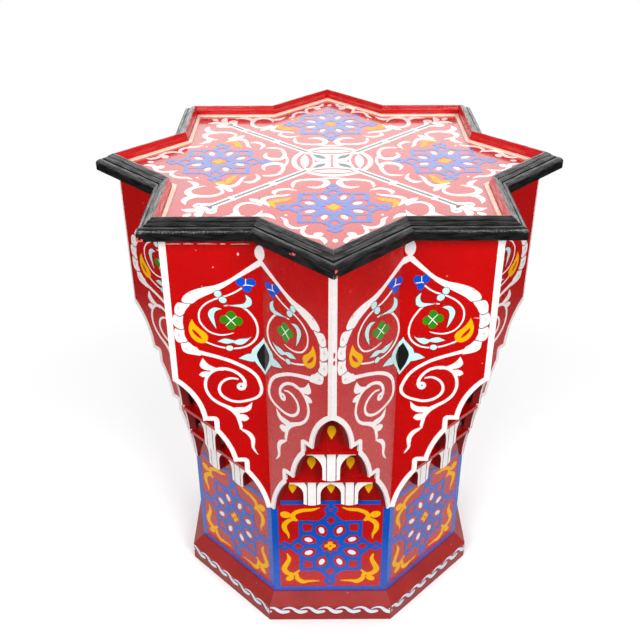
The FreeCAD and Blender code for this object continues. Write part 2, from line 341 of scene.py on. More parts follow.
# %% Mixing a paint
CLOUD_SIZE = 38.0
CLOUD_DETAIL = 3.0
CLOUD_RAMP = (0.35, 0.7)
PATCH_SIZE = 9.0
PATCH_RAMP = (0.3, 0.7)
SHADE_EDGE = 1.0
VARNISH_ROUGH = 0.1
BACK_ROUGH = 0.9


def paint(name, colour, cloud=0.86, gloss=(0.26, 0.28), coat=1.0, shine=0.5, chips=None, shade_above=None,
          behind=(), shade_at=()):
    """Brushed enamel: clouded colour and uneven gloss.

    chips is (spacing, radius, colour) of small bare spots, shade_above is (height, share) of a part darkened
    as painted shade, behind holds (depth, colour) pairs behind the star's side, the last of which has no
    varnish, and shade_at holds (distance, share) of faces darkened as painted shade.
    """
    material, tree, shader, where = new_material(name, shine)
    clouds = noise_value(tree, where, CLOUD_SIZE, CLOUD_DETAIL)
    tint = mix_colour(tree, ramp_value(tree, clouds, *CLOUD_RAMP), colour, darker(colour, cloud))
    if shade_above:
        height, share = shade_above
        above = ramp_value(tree, axes_of(tree, where)["Z"], height * MM, (height + SHADE_EDGE) * MM)
        tint = mix_colour(tree, above, tint, darker(colour, share))
    if chips:
        tint = chipped(tree, where, tint, *chips)
    for depth, other in behind:
        back = behind_face(tree, where, depth)
        tint = mix_colour(tree, back, tint, other)
    for distance, share in shade_at:
        tint = face_at(tree, where, tint, distance, darker(colour, share))
    rough = ramp_value(tree, noise_value(tree, where, PATCH_SIZE), *PATCH_RAMP, *gloss)
    feed(tree, shader, {"Coat Weight": coat, "Coat Roughness": VARNISH_ROUGH})
    if behind:
        rough = maths(tree, "MAXIMUM", rough, maths(tree, "MULTIPLY", back, BACK_ROUGH))
        feed(tree, shader, {"Coat Weight": ramp_value(tree, back, 0.0, 1.0, coat, 0.0)})
    feed(tree, shader, {"Base Color": tint, "Roughness": rough})
    return material


# %% The paints
RED = rgb(197, 1, 1)
# These shares darken the red as painted shade: on the backs of the walls, in the niches and on the arcades,
# and on the back boards of the niches.
BACK_SHADE = 0.42
NICHE_SHADE = 0.56
BOARD_SHADE = 0.75
PANEL_TOP = 166.0
CHIP = rgb(236, 150, 138)
WHITE = rgb(253, 247, 245)
red_lacquer = paint("red_lacquer", RED, cloud=0.88, chips=(17.0, 0.8, CHIP))
# Wall boards: a white line of paint on the cut edge, and the backs darkened as painted shade.
wall_red = paint("wall_red", RED, cloud=0.88, chips=(17.0, 0.8, CHIP),
                 behind=((0.3, WHITE), (1.8, darker(RED, BACK_SHADE))))
# Carcass boards: above the panel, inside the lowest niches, the red is darkened as painted shade.
panel_red = paint("panel_red", rgb(196, 6, 6), cloud=0.86, shade_above=(PANEL_TOP, NICHE_SHADE))
# Arcades: their whole red is darkened as painted shade; only their fronts get a white film.
niche_red_painted_shade = paint("niche_red_painted_shade", darker(RED, NICHE_SHADE), cloud=0.75, gloss=(0.4, 0.5), coat=0.3)
plinth_red = paint("plinth_red", rgb(152, 28, 24), cloud=0.76, gloss=(0.3, 0.4), coat=0.5, shine=0.3,
                   chips=(11.0, 0.6, CHIP))
white_enamel = paint("white_enamel", WHITE, cloud=0.96)
aqua_enamel = paint("aqua_enamel", rgb(204, 240, 240), cloud=0.96)
pale_aqua = paint("pale_aqua", rgb(226, 242, 250), cloud=0.96)
bell_blue = paint("bell_blue", rgb(0, 84, 212), cloud=0.85)
rosette_blue = paint("rosette_blue", rgb(0, 84, 192), cloud=0.85)
yellow_enamel = paint("yellow_enamel", rgb(248, 182, 2), cloud=0.88, gloss=(0.4, 0.5), coat=0.25, shine=0.3)
green_enamel = paint("green_enamel", rgb(46, 146, 10), cloud=0.8)
black_enamel = paint("black_enamel", rgb(26, 26, 27), cloud=0.7)
print("paints:", len(bpy.data.materials))

# %% [markdown]
# ## Finishes on the boards
#
# The boards stay as the joiner left them and only take a material. Walls, carcass and the star field are
# red lacquer, darkened as painted shade inside the niches and on the backs of the walls. The white band of
# a wall is carried over onto its cut edge. The plinth is a duller, browner red. The glue blocks are bare
# softwood.

# %% Coat the boards
GRAIN_SIZE = 3.0
GRAIN_DETAIL = 4.0
GRAIN_DRAWN_OUT = (1.0, 1.0, 0.08)
GRAIN_RAMP = (0.35, 0.65)


def coat_node(name, material):
    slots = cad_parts[name].data.materials
    slots.clear()
    slots.append(material)


def scaled(tree, coordinates, scale):
    return node(tree, "ShaderNodeMapping", {"Scale": scale, "Vector": coordinates}).outputs["Vector"]


def softwood():
    material, tree, shader, where = new_material("bare_softwood", rough=0.75)
    grain = noise_value(tree, scaled(tree, where, GRAIN_DRAWN_OUT), GRAIN_SIZE, GRAIN_DETAIL)
    tint = mix_colour(tree, ramp_value(tree, grain, *GRAIN_RAMP), rgb(214, 178, 128), rgb(168, 122, 76))
    feed(tree, shader, {"Base Color": tint})
    return material


coat_node("top_board", red_lacquer)
coat_node("glue_blocks", softwood())
for point in range(1, POINTS + 1):
    coat_node(f"carcass_board_{point}", panel_red)
    coat_node(f"plinth_rail_{point}", plinth_red)
    coat_node(f"point_{point}_wall_left", wall_red)
    coat_node(f"point_{point}_wall_right", wall_red)
    coat_node(f"point_{point}_arcades", niche_red_painted_shade)
print("boards coated:", POINTS * 5 + 2)

# %% [markdown]
# ## The moulding's three colours
#
# The moulding is one strip, painted red on its inner side, cream on the low fillet against the field, and
# black outside. The paint changes where the shape turns, so the material asks how far a place lies from
# the centre in the star's own measure: the nearer of the two crossed squares. That number is the same all
# along a strip. Streaks run along the strips, so the black gets a noise that is drawn out that way. Knocks
# have chipped it at two tips and once between them.

# %% The moulding
UNDERCOAT = rgb(216, 98, 84)
RIM_CHIPS = (((-33.0, -210.3, 497.0), 2.2), ((-36.5, -207.3, 496.0), 1.5), ((-171.0, -172.0, 489.5), 5.0),
             ((1.6, -240.9, 496.5), 1.9), ((2.6, -240.7, 492.0), 2.1))
CHIP_CRUMBLE = 3.0
CHIP_EDGE = (2.2, 2.4)
CRUMBLE_SIZE = 2.6
CREAM_TO = -1.3
RED_TO = 1.9
SEAM = 0.3
WANDER = 1.0
WANDER_SIZE = 7.0
STREAK_SIZE = 2.0
STREAKS_DRAWN_OUT = (1.0, 0.11, 1.0)
SPECKLE_SIZE = 2.2
SPECKLE_SHARE = 0.6
FINE_DETAIL = 3.0
STREAK_TINT = (0.35, 0.75)
STREAK_ROUGH = (0.3, 0.7, 0.25, 0.45)
STREAK_COAT = (0.42, 0.56, 0.1, 1.0)
STREAK_COAT_ROUGH = 0.12
RELIEF = {"Strength": 0.8, "Distance": 0.6 * MM}


def chip_at(tree, where, crumble, tint, spot, radius):
    """A ragged chip in the black, down to the pink undercoat, round one place in millimetres."""
    far = node(tree, "ShaderNodeVectorMath", {0: where, 1: [v * MM for v in spot]}, operation="DISTANCE")
    crumbs = maths(tree, "MULTIPLY", crumble, CHIP_CRUMBLE * radius * MM)
    ragged = maths(tree, "ADD", far.outputs["Value"], crumbs)
    low, high = [share * radius * MM for share in CHIP_EDGE]
    return mix_colour(tree, ramp_value(tree, ragged, low, high, 1.0, 0.0), tint, UNDERCOAT)


def past_seam(tree, out, seam):
    """0 inside a seam between two colours and 1 outside it."""
    return ramp_value(tree, out, (STAR_FLAT + seam) * MM, (STAR_FLAT + seam + SEAM) * MM)


def moulding_paint():
    material, tree, shader, where = new_material("moulding_paint", shine=0.3)
    out, along = star_measure(tree, where)
    values = {"X": out, "Y": along, "Z": axes_of(tree, where)["Z"]}
    along_strip = scaled(tree, node(tree, "ShaderNodeCombineXYZ", values).outputs[0], STREAKS_DRAWN_OUT)
    streaks = noise_value(tree, along_strip, STREAK_SIZE, FINE_DETAIL)
    wobble = noise_value(tree, where, WANDER_SIZE)
    edge = maths(tree, "MULTIPLY_ADD", wobble, WANDER * MM, out)
    black = mix_colour(tree, ramp_value(tree, streaks, *STREAK_TINT), rgb(8, 8, 8), rgb(32, 31, 32))
    cream = mix_colour(tree, wobble, rgb(255, 242, 222), rgb(246, 214, 190))
    red = mix_colour(tree, wobble, RED, darker(RED, 0.8))
    inside = mix_colour(tree, past_seam(tree, edge, CREAM_TO), cream, red)
    tint = mix_colour(tree, past_seam(tree, edge, RED_TO), inside, black)
    crumble = noise_value(tree, where, CRUMBLE_SIZE, FINE_DETAIL)
    for spot, radius in RIM_CHIPS:
        tint = chip_at(tree, where, crumble, tint, spot, radius)
    speckle = maths(tree, "MULTIPLY", noise_value(tree, where, SPECKLE_SIZE), SPECKLE_SHARE)
    bump = {"Height": maths(tree, "ADD", streaks, speckle), **RELIEF}
    normal = node(tree, "ShaderNodeBump", bump).outputs["Normal"]
    feed(tree, shader, {
        "Base Color": tint,
        "Roughness": ramp_value(tree, streaks, *STREAK_ROUGH),
        "Normal": normal,
        "Coat Weight": ramp_value(tree, streaks, *STREAK_COAT),
        "Coat Roughness": STREAK_COAT_ROUGH,
        "Coat Normal": normal,
    })
    return material


moulding = moulding_paint()
for point in range(1, POINTS + 1):
    coat_node(f"point_{point}_rim", moulding)
print("moulding strips painted:", POINTS, "with", len(RIM_CHIPS), "chips")

# %% [markdown]
# ## A kit for brushwork
#
# A brush makes three kinds of mark: a stroke whose width swells and fades, a leaf between two edges that
# meet in tips, and a round dab. Each is written with a few listed points and a smooth line through them.
# Marks of one colour overlap, as they do on the stool, so they are laid over one another and cut into one
# flat shape by a constrained triangulation. That also cuts holes, and trims at a board's edge.

# %% Marks of the brush
SMOOTH_STEPS = 6
DAB_SIDES = 14
ROUND_FROM = 0.6
LEAST_WIDTH = 0.05


def between(a, b, c, d, t):
    """A Catmull-Rom value between b and c."""
    return b + 0.5 * t * (c - a + t * (2 * a - 5 * b + 4 * c - d + t * (3 * (b - c) + d - a)))


def through(points):
    """A smooth line through points that hold two or more numbers each."""
    last = len(points) - 1
    line = []
    for i in range(last):
        around = [points[min(max(j, 0), last)] for j in (i - 1, i, i + 1, i + 2)]
        for step in range(SMOOTH_STEPS):
            line.append(tuple(between(*four, step / SMOOTH_STEPS) for four in zip(*around)))
    line.append(tuple(points[last]))
    return line


def dab(x, y, radius, tall=None, lean=0.0):
    """A round or oval dab; lean turns it, in degrees."""
    tall = radius if tall is None else tall
    turn = math.radians(lean)
    ring = []
    for step in range(DAB_SIDES):
        angle = 2 * math.pi * step / DAB_SIDES
        across, up = radius * math.cos(angle), tall * math.sin(angle)
        ring.append((x + across * math.cos(turn) - up * math.sin(turn),
                     y + across * math.sin(turn) + up * math.cos(turn)))
    return [ring]


def stroke(*points):
    """A brush stroke through (x, y, width) points, with round ends, as small pieces that overlap."""
    line = through(points)
    pieces = []
    for x, y, width in (line[0], line[-1]):
        if width > ROUND_FROM:
            pieces += dab(x, y, width / 2)
    sides = []
    for i, (x, y, width) in enumerate(line):
        before, after = line[max(i - 1, 0)], line[min(i + 1, len(line) - 1)]
        run, rise = after[0] - before[0], after[1] - before[1]
        length = math.hypot(run, rise) or 1.0
        off = max(width, LEAST_WIDTH) / 2 / length
        sides.append(((x - rise * off, y + run * off), (x + rise * off, y - run * off)))
    for (left, right), (next_left, next_right) in zip(sides, sides[1:]):
        pieces += [[left, right, next_right], [left, next_right, next_left]]
    return pieces


def leaf(edge, other):
    """A leaf between two edges. The tips are written once, as the ends of the first edge."""
    return [through(edge) + through([edge[0], *other, edge[-1]])[::-1][1:-1]]


def even_leaf(*edge):
    """A leaf that is the same on both sides of its axis, from one of its edges."""
    return leaf(edge, [(-x, y) for x, y in edge[1:-1]])


# %% Plain shapes, and copies of marks
def flat(points):
    """A shape with straight sides."""
    return [list(points)]


def block(left, low, right, high):
    """A rectangle."""
    return flat([(left, low), (right, low), (right, high), (left, high)])


def mirrored(shapes):
    return [[(-x, y) for x, y in shape] for shape in shapes]


def shifted(shapes, right, up):
    return [[(x + right, y + up) for x, y in shape] for shape in shapes]


def in_row(shapes, places, up=0):
    """Copies of some marks, side by side."""
    return [ring for right in places for ring in shifted(shapes, right, up)]


def rotated(shapes, degrees):
    c, s = math.cos(math.radians(degrees)), math.sin(math.radians(degrees))
    return [[(x * c - y * s, x * s + y * c) for x, y in shape] for shape in shapes]


# %% Cutting one flat shape out of many marks
LEAST_GAP = 0.01
LEAST_AREA = 0.02
SAME_PLANE = math.radians(1.0)


def twice_area(shape):
    return sum(a[0] * b[1] - b[0] * a[1] for a, b in zip(shape, shape[1:] + shape[:1]))


def holds(shape, x, y):
    """Whether a place lies inside a shape: a line to its left crosses the rim an odd number of times."""
    inside = False
    for (ax, ay), (bx, by) in zip(shape, shape[1:] + shape[:1]):
        if (ay > y) != (by > y) and x < ax + (y - ay) * (bx - ax) / (by - ay):
            inside = not inside
    return inside


def cut_out(marks, inside=(), holes=()):
    """The union of the marks as (points, triangles, rim edges), trimmed to inside and without the holes."""
    marks = [ring for ring in marks if abs(twice_area(ring)) > LEAST_AREA]
    points, faces, rings = [], [], []
    for shape in [*marks, *inside, *holes]:
        ring = list(shape) if twice_area(shape) > 0 else list(shape)[::-1]
        faces.append(range(len(points), len(points) + len(ring)))
        points += [Vector(p) for p in ring]
        rings.append([tuple(p[:2]) for p in ring])
    made = delaunay_2d_cdt(points, [], [list(f) for f in faces], 0, LEAST_GAP)
    marked, trimmed = len(marks), len(marks) + len(inside)

    def kept(cell, sources):
        x, y = sum((made[0][i] for i in cell), Vector((0, 0))) / len(cell)
        if any(holds(rings[i], x, y) for i in sources if i >= trimmed):
            return False
        if inside and not any(holds(rings[i], x, y) for i in sources if marked <= i < trimmed):
            return False
        return any(holds(rings[i], x, y) for i in sources if i < marked)

    return tidy([made[0], [cell for cell, sources in zip(made[2], made[5]) if kept(cell, sources)]])


def tidy(shape):
    """Merges the small triangles of a flat shape, and lists its rim as directed edges."""
    work = bmesh.new()
    corners = [work.verts.new((p[0], p[1], 0)) for p in shape[0]]
    for cell in shape[1]:
        work.faces.new([corners[i] for i in cell])
    bmesh.ops.delete(work, geom=[v for v in work.verts if not v.link_faces], context="VERTS")
    bmesh.ops.dissolve_limit(work, angle_limit=SAME_PLANE, verts=work.verts, edges=work.edges)
    bmesh.ops.triangulate(work, faces=work.faces)
    work.verts.index_update()
    points = [(v.co.x, v.co.y) for v in work.verts]
    triangles = [tuple(v.index for v in f.verts) for f in work.faces]
    rim = []
    for f in work.faces:
        for loop in f.loops:
            if len(loop.edge.link_faces) == 1:
                rim.append((loop.vert.index, loop.link_loop_next.vert.index))
    work.free()
    return points, triangles, rim


# %% [markdown]
# ## Canvases
#
# A canvas says where a flat drawing lies on the stool: its origin, its right and its up, as a matrix. The
# walls are drawn from the fold between two points, because the painter's big motif is folded there: one
# half on each wall. Each film of paint is raised by a fifth of a millimetre and gets sides, so that it
# catches light as real enamel does. A slow wobble makes each copy of a motif a little different. It comes
# from a noise with a fixed seed, so that it is the same in every run.

# %% Canvases
def star_place(radius, turn, height=0.0):
    """A place at a distance from the middle, turned by eighths from the front tip towards +X."""
    angle = turn * EIGHTH
    return Vector((radius * math.sin(angle), -radius * math.cos(angle), height))


def canvas(origin, right, up=Vector((0, 0, 1))):
    right = right.normalized()
    out = right.cross(up)
    made = Matrix.Identity(4)
    for column, vector in enumerate((right, up, out, origin)):
        made.col[column][:3] = vector
    return Matrix.Scale(MM, 4) @ made


def wall_canvases(fold):
    """The two canvases at a notch, drawn outwards from the fold: the wall on its left, then on its right."""
    notch = star_place(STAR_NOTCH, fold)
    left = canvas(notch, notch - star_place(STAR_TIP, fold - 0.5))
    right = canvas(notch, star_place(STAR_TIP, fold + 0.5) - notch)
    return left, right


def panel_canvas(turn, radius=STAR_FLAT):
    """An upright face that looks outwards at a turn, drawn from its middle."""
    return canvas(star_place(radius, turn), star_place(1, turn + 2))


# %% Films of paint
FILM = 0.2
BEDDED = FILM / 4
WOBBLE = 0.7
WOBBLE_SIZE = 26.0
WOBBLE_SEED = 4
SEED_STEP = 7.3
FOLD_CALM = 5.0

noise.seed_set(WOBBLE_SEED)


def wobbled(x, y, seed, calm_at_zero):
    place = Vector((x, y, 0)) / WOBBLE_SIZE + Vector((0, 0, seed * SEED_STEP))
    shift = noise.noise_vector(place) * WOBBLE
    if calm_at_zero:
        shift *= min(abs(x) / FOLD_CALM, 1.0)
    return x + shift.x, y + shift.y


def flipped(shape):
    """A cut-out seen in a mirror."""
    points, triangles, rim = shape
    return [(-x, y) for x, y in points], [t[::-1] for t in triangles], [edge[::-1] for edge in rim]


def film(name, material, sheets, layer=1.0, seed=0, calm_at_zero=False, wobbly=True):
    """One piece of paint: a cut-out on each of its canvases, some layers thick."""
    verts, faces = [], []
    for place, (points, triangles, rim) in sheets:
        base, count = len(verts), len(points)
        drawn = [wobbled(x, y, seed, calm_at_zero) if wobbly else (x, y) for x, y in points]
        verts += [place @ Vector((x, y, FILM * layer)) for x, y in drawn]
        verts += [place @ Vector((x, y, -BEDDED)) for x, y in drawn]
        faces += [tuple(base + i for i in triangle) for triangle in triangles]
        for start, end in rim:
            faces.append((base + start, base + start + count, base + end + count, base + end))
    mesh = bpy.data.meshes.new(name)
    mesh.from_pydata(verts, [], faces)
    mesh.materials.append(material)
    piece = put(name, mesh)
    work = bmesh.new()
    work.from_mesh(mesh)
    bmesh.ops.delete(work, geom=[v for v in work.verts if not v.link_faces], context="VERTS")
    work.to_mesh(mesh)
    work.free()
    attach(piece, "root")
    return piece


def paint_sides(owner, parts, seed):
    """Films on the eight sides. A part is (name, slot, paint, (distance, cut-out) pairs, layer, wobbly)."""
    for index in range(POINTS):
        for part, slot, material, faces, layer, wobbly in parts:
            sheets = [(panel_canvas(index, radius), shape) for radius, shape in faces]
            film(f"{owner}_{index + 1}_{part}", material, sheets, layer, seed + index, wobbly=wobbly)


# %% [markdown]
# ## White bands on the walls
#
# A white band runs down both faces of every ridge and along the stepped lower edge of every wall. It
# narrows towards the foot, except at the front tip, and the two side tips have a mere line. The stepped
# edge is read from the wall itself: the outline of its outer face. The band is a stroke along that
# outline, trimmed to the face, so it follows each cusp and step exactly.

# %% Outline of a wall's outer face
DIGITS = 2
IN_PLANE = 0.02


def face_outline(name, place):
    """The outline of the node's face that lies in a canvas, as a closed ring in that canvas."""
    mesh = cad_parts[name].data
    back = place.inverted()
    spots = [back @ v.co for v in mesh.vertices]
    edges = {}
    for polygon in mesh.polygons:
        ring = [spots[i] for i in polygon.vertices]
        if all(abs(p.z) < IN_PLANE for p in ring):
            keys = [(round(p.x, DIGITS), round(p.y, DIGITS)) for p in ring]
            for a, b in zip(keys, keys[1:] + keys[:1]):
                if (b, a) in edges:
                    del edges[(b, a)]
                else:
                    edges[(a, b)] = True
    following = dict(edges.keys())
    ring = [min(following)]
    while following[ring[-1]] != ring[0]:
        ring.append(following[ring[-1]])
    return ring


wall_outline = face_outline("point_2_wall_left", wall_canvases(0.5)[1])
print("wall outline:", len(wall_outline), "corners")

# %% Draw the bands
CUSP_BAND = 5.2
FRONT_RIDGE_BAND = (5.0, 6.2)
RIDGE_BAND = (6.3, 4.5)
SIDE_RIDGE_BAND = (1.6, 1.6)
NEAR_END = 1.0
UPRIGHT = 0.5


def cusp_marks(outline, top):
    """A stroke along the stepped edge only: not along the ridge, the top or the fold."""
    marks = []
    for a, b in zip(outline, outline[1:] + outline[:1]):
        upright = abs(a[0] - b[0]) < UPRIGHT
        on_ridge = upright and min(a[0], b[0]) > WALL_LENGTH - NEAR_END
        on_fold = upright and max(a[0], b[0]) < NEAR_END
        if not (on_ridge or on_fold or min(a[1], b[1]) > top - NEAR_END):
            marks += stroke((*a, 2 * CUSP_BAND), (*b, 2 * CUSP_BAND))
    return marks


def ridge_band(at_top, at_foot, outline, low, top):
    """The band along a ridge. It reaches past the wall's end by a film, so that two bands meet there."""
    far = WALL_LENGTH + FILM
    face = [(x if x < WALL_LENGTH - NEAR_END else far, y if y < top - NEAR_END else WALL_TOP)
            for x, y in outline]
    at_low, at_high = WALL_LENGTH - at_foot, WALL_LENGTH - at_top
    return cut_out(flat([(at_low, low), (far, low), (far, WALL_TOP), (at_high, WALL_TOP)]), inside=[face])


wall_low = min(y for _, y in wall_outline)
wall_high = max(y for _, y in wall_outline)
cusp_band = cut_out(cusp_marks(wall_outline, wall_high), inside=[wall_outline])
ridge_bands = [ridge_band(*widths, wall_outline, wall_low, wall_high)
               for widths in (FRONT_RIDGE_BAND, RIDGE_BAND, SIDE_RIDGE_BAND)]
print("band triangles:", len(cusp_band[1]))

# %% Lay the bands on every wall
RIDGE_KIND = (0, 1, 2, 1, 1, 1, 2, 1)

for index in range(POINTS):
    left, right = wall_canvases(index + 0.5)
    left_band, right_band = (ridge_bands[RIDGE_KIND[tip % POINTS]] for tip in (index, index + 1))
    film(f"fold_{index + 1}_cusp_bands", white_enamel,
         [(right, cusp_band), (left, flipped(cusp_band))], layer=1.25, wobbly=False)
    film(f"fold_{index + 1}_ridge_bands", white_enamel,
         [(right, right_band), (left, flipped(left_band))], layer=1.5, wobbly=False)
print("walls banded:", 2 * POINTS)

# %% [markdown]
# ## The folded motif
#
# The largest painting is a pear-shaped ogee that opens from a bud at the top of each fold, bulges out to
# the ridges with three lobes on either side, and closes into scrolls and flames that run down to the foot
# of the wall. Its left half mirrors its right, so only the right half is drawn: x runs from the fold
# towards the ridge, y is the height above the floor.

# %% White strokes of the folded motif
SHEET_FOOT = 150
SHEET_TOP = 490
HALF_SHEET = block(0, SHEET_FOOT, WALL_LENGTH, SHEET_TOP)
FINER = 0.86


def fine(*points):
    """A stroke of the finer brush that painted the walls."""
    return stroke(*[(x, y, width * FINER) for x, y, width in points])


bud = dab(0, 471.5, 5.6, 7.6) + stroke((0, 467, 6), (0, 461.5, 4))
upper_ogee = leaf(
    [(-6, 462), (0, 464.4), (5, 462), (17.5, 452.8), (30, 444.4), (42.5, 438.8), (55, 436), (65.6, 432.4),
     (72, 427.8), (74.8, 423.8), (75, 421.6), (73.6, 419.4)],
    [(0, 458.4), (11, 451.6), (24, 443.4), (36, 435.6), (49, 429.2), (59.4, 423.4), (66.4, 418.2)],
)
lobes = leaf([(73.8, 419), (79, 419.6), (82, 415.6), (82.7, 410.6), (82.2, 407.8), (78.6, 405.3)],
             [(67.6, 418.4), (72.2, 411.6), (74.8, 407)])
lobes += leaf([(78.8, 404.5), (82.8, 407.2), (85.1, 403.8), (85.5, 399.6), (84.4, 394.6), (78.7, 390.4)],
              [(75.2, 405.8), (76, 398), (75.8, 391.6)])
lobes += leaf([(78.6, 389.4), (83.8, 392), (85.2, 387.6), (85, 381.8), (83.4, 377.6), (80.6, 375.7),
               (77, 376.2)], [(75.6, 390.2), (75.4, 383.5), (73.4, 377.6)])
lobes += leaf([(76.4, 375.2), (79.5, 374.9), (79.4, 369.8), (77.7, 365.3), (71.9, 362.4), (62, 360.6)],
              [(72.6, 376), (68.4, 371.8), (64, 368.4)])
lower_ogee = fine(
    (68, 366.4, 6), (63, 364.4, 5.2), (55, 361.8, 4.5), (42.5, 357.6, 4.2), (30, 352.5, 4.2),
    (17.5, 345, 4.2), (9.5, 336.5, 4.2), (5.6, 327, 4), (4.6, 319, 3.8), (6.8, 313.3, 3.6),
    (12, 309.2, 3.4), (20, 306.4, 3.4), (28.5, 305, 3.4), (37, 307, 3.4), (43.8, 312.5, 3.4),
    (46.3, 319.5, 3.4), (44.6, 326.6, 3.2), (39.5, 331.6, 3), (33.5, 333.6, 2.6), (27.5, 332.6, 1.8),
)
scroll = dab(24.6, 323.5, 4.6) + fine(
    (21.2, 325, 4.6), (21.4, 331, 3.8), (25.5, 338, 3.7), (33, 343.4, 3.7), (43, 345.2, 3.9),
    (52.5, 341.5, 3.9), (58.3, 333, 3.6), (59.6, 322, 3.5), (56, 311.5, 3.5), (49, 304, 3.8),
    (41, 299, 4.7), (34, 294, 6.2), (29.5, 287, 5.8), (28.3, 280, 4.4), (27.3, 274, 3.8), (27.8, 271, 2.2),
)
upper_leaf = leaf([(40, 343), (49, 346.6), (55.4, 350.6), (60.3, 357.8)],
                  [(52, 342.8), (60, 344.6), (63.6, 349.6)])
upper_petal = leaf([(53.6, 341), (58.4, 342), (63, 340.6), (65, 337.6)], [(56.6, 336.6), (61, 335)])
lower_leaf = leaf([(38, 296.5), (30, 297.8), (21.6, 298.4), (14.6, 304.4)],
                  [(31, 291.4), (23, 291.2), (16.4, 295.4)])
lower_petal = leaf([(31, 287.4), (25.6, 289.2), (20.6, 287.4), (18.4, 283.4)], [(27.6, 282.2), (22.5, 280.6)])
flame = stroke(
    (27.8, 271, 1), (24.5, 268.6, 3.2), (19.5, 264.6, 4.6), (16.2, 258.5, 4.8), (15.8, 252, 4),
    (16, 246.5, 3), (14, 241.5, 2), (11, 237, 0.3),
)
scroll_marks = bud + upper_ogee + lobes + lower_ogee + scroll
scroll_marks += upper_leaf + upper_petal + lower_leaf + lower_petal + flame
print("strokes of the half motif:", len(scroll_marks))

# %% Rings, stems and leaves inside the ogee
LEAF_EDGE = 1.0


def edged(shapes, width):
    """Thin straight lines along the rims of some shapes."""
    lines = []
    for shape in shapes:
        for (ax, ay), (bx, by) in zip(shape, shape[1:] + shape[:1]):
            off = width / 2 / (math.hypot(bx - ax, by - ay) or 1.0)
            side_x, side_y = (ay - by) * off, (bx - ax) * off
            lines.append([(ax + side_x, ay + side_y), (ax - side_x, ay - side_y),
                          (bx - side_x, by - side_y), (bx + side_x, by + side_y)])
    return lines


STEM = 1.9
outer_ring = fine(
    (19, 434.5, STEM), (25, 430.8, STEM), (32.5, 427.6, STEM), (38.8, 425.8, STEM), (46, 423, STEM),
    (53.8, 418, STEM), (59.4, 410.8, STEM), (60.6, 403, STEM), (58.8, 395.8, STEM), (52.5, 388, STEM),
    (43.8, 384.3, STEM), (36, 384.2, 1.6), (28.8, 386, 0.8),
)
inner_ring = fine(
    (36, 416.4, 1.2), (27, 416.4, 1.8), (20, 414.5, 2.2), (13.8, 409.5, 2.4), (8, 401, 2.4),
    (5.4, 391.5, 2.4), (6.5, 382, 2.4), (11.5, 374.8, 2.4), (20, 369.8, STEM), (30, 368.3, STEM),
    (40, 369.5, STEM), (48.8, 372.6, STEM), (57.5, 377, STEM),
)
ring_marks = outer_ring + inner_ring

crescent = leaf([(15.6, 427.8), (10.6, 423), (10.8, 416.5), (16.5, 413.4), (24, 414.8), (33, 416.5)],
                [(15.2, 422), (17.8, 418.2), (24, 417.2)])
ring_crescent = leaf([(38.6, 413), (44.6, 414.6), (49.8, 412), (52, 406.5), (49.6, 399), (45, 390.6)],
                     [(44.2, 410.6), (46.6, 405.6), (46, 398.5)])
ring_leaf = leaf(
    [(11.6, 381.6), (16.4, 379.6), (23, 379.2), (28.2, 377.4), (32.4, 379), (38, 379.8), (44.6, 376.6)],
    [(17.4, 375.4), (22.4, 372.6), (26.4, 372.9), (30.2, 374.9), (36, 374)],
)
beads = dab(41.3, 429.6, 3.5) + dab(37, 423, 3.9, 3.3, 40) + dab(33.6, 368.8, 3.6, 3.0)
wing = leaf([(9, 361), (13.5, 362.6), (19, 361.4), (25.6, 357.4)], [(9.6, 354), (15.4, 354.2)])
surround = flat([(0, 381), (0, 337.2), (4, 344.6), (9, 352), (12.4, 358.6), (13.4, 362.5), (11.6, 367.6),
                 (6, 373.2), (2, 377.4)])
leaf_aqua = crescent + ring_crescent + ring_leaf + beads + surround + wing
leaf_edges = edged(leaf_aqua, LEAF_EDGE)
lozenge = leaf([(0, 374.5), (4, 369), (7.4, 361.5), (5.4, 353), (0, 341.5)], [(-1, 358)])
print("marks of the leaves:", len(leaf_aqua), "and of the rings:", len(ring_marks))

# %% Flowers of the folded motif
bluebell = dab(10, 440.3, 4.9, 4.6) + dab(19.4, 441.4, 4.5, 4.7) + dab(13.8, 434.4, 4.2, 4.2)
clover = dab(30.6, 405.4, 4.8) + dab(37, 401.2, 4.6) + dab(30.6, 394.4, 4.7) + dab(24, 398.8, 4.8)
clover += dab(30.4, 399.8, 4.5)
teardrop = leaf(
    [(67, 401.6), (69.2, 397.6), (70.6, 393), (70.8, 388), (69.2, 382.2), (65.8, 377.4), (61.6, 375),
     (57.8, 374.7), (54.6, 376.6)],
    [(65.4, 397), (63, 393.4), (59.8, 389.8), (55.4, 386), (53.2, 381.6)],
)
teardrop_hole = leaf([(67.6, 390.8), (67.2, 387), (64, 382.4), (58.8, 378.8)], [(64, 387.2), (60.8, 383)])
flower_lines = fine((14.4, 444, 1.0), (14.8, 438, 1.0))
flower_lines += fine((8.2, 437.2, 0.9), (14.8, 438, 1.1), (17.4, 437.4, 0.6))
flower_lines += fine((25.4, 404.2, 0.9), (30.4, 399.8, 1.1), (35.8, 394.2, 0.6))
flower_lines += fine((26.4, 394.8, 0.8), (31, 400.4, 1.1), (35.6, 405.8, 0.6))
print("marks of the flowers:", len(bluebell) + len(clover) + len(teardrop))

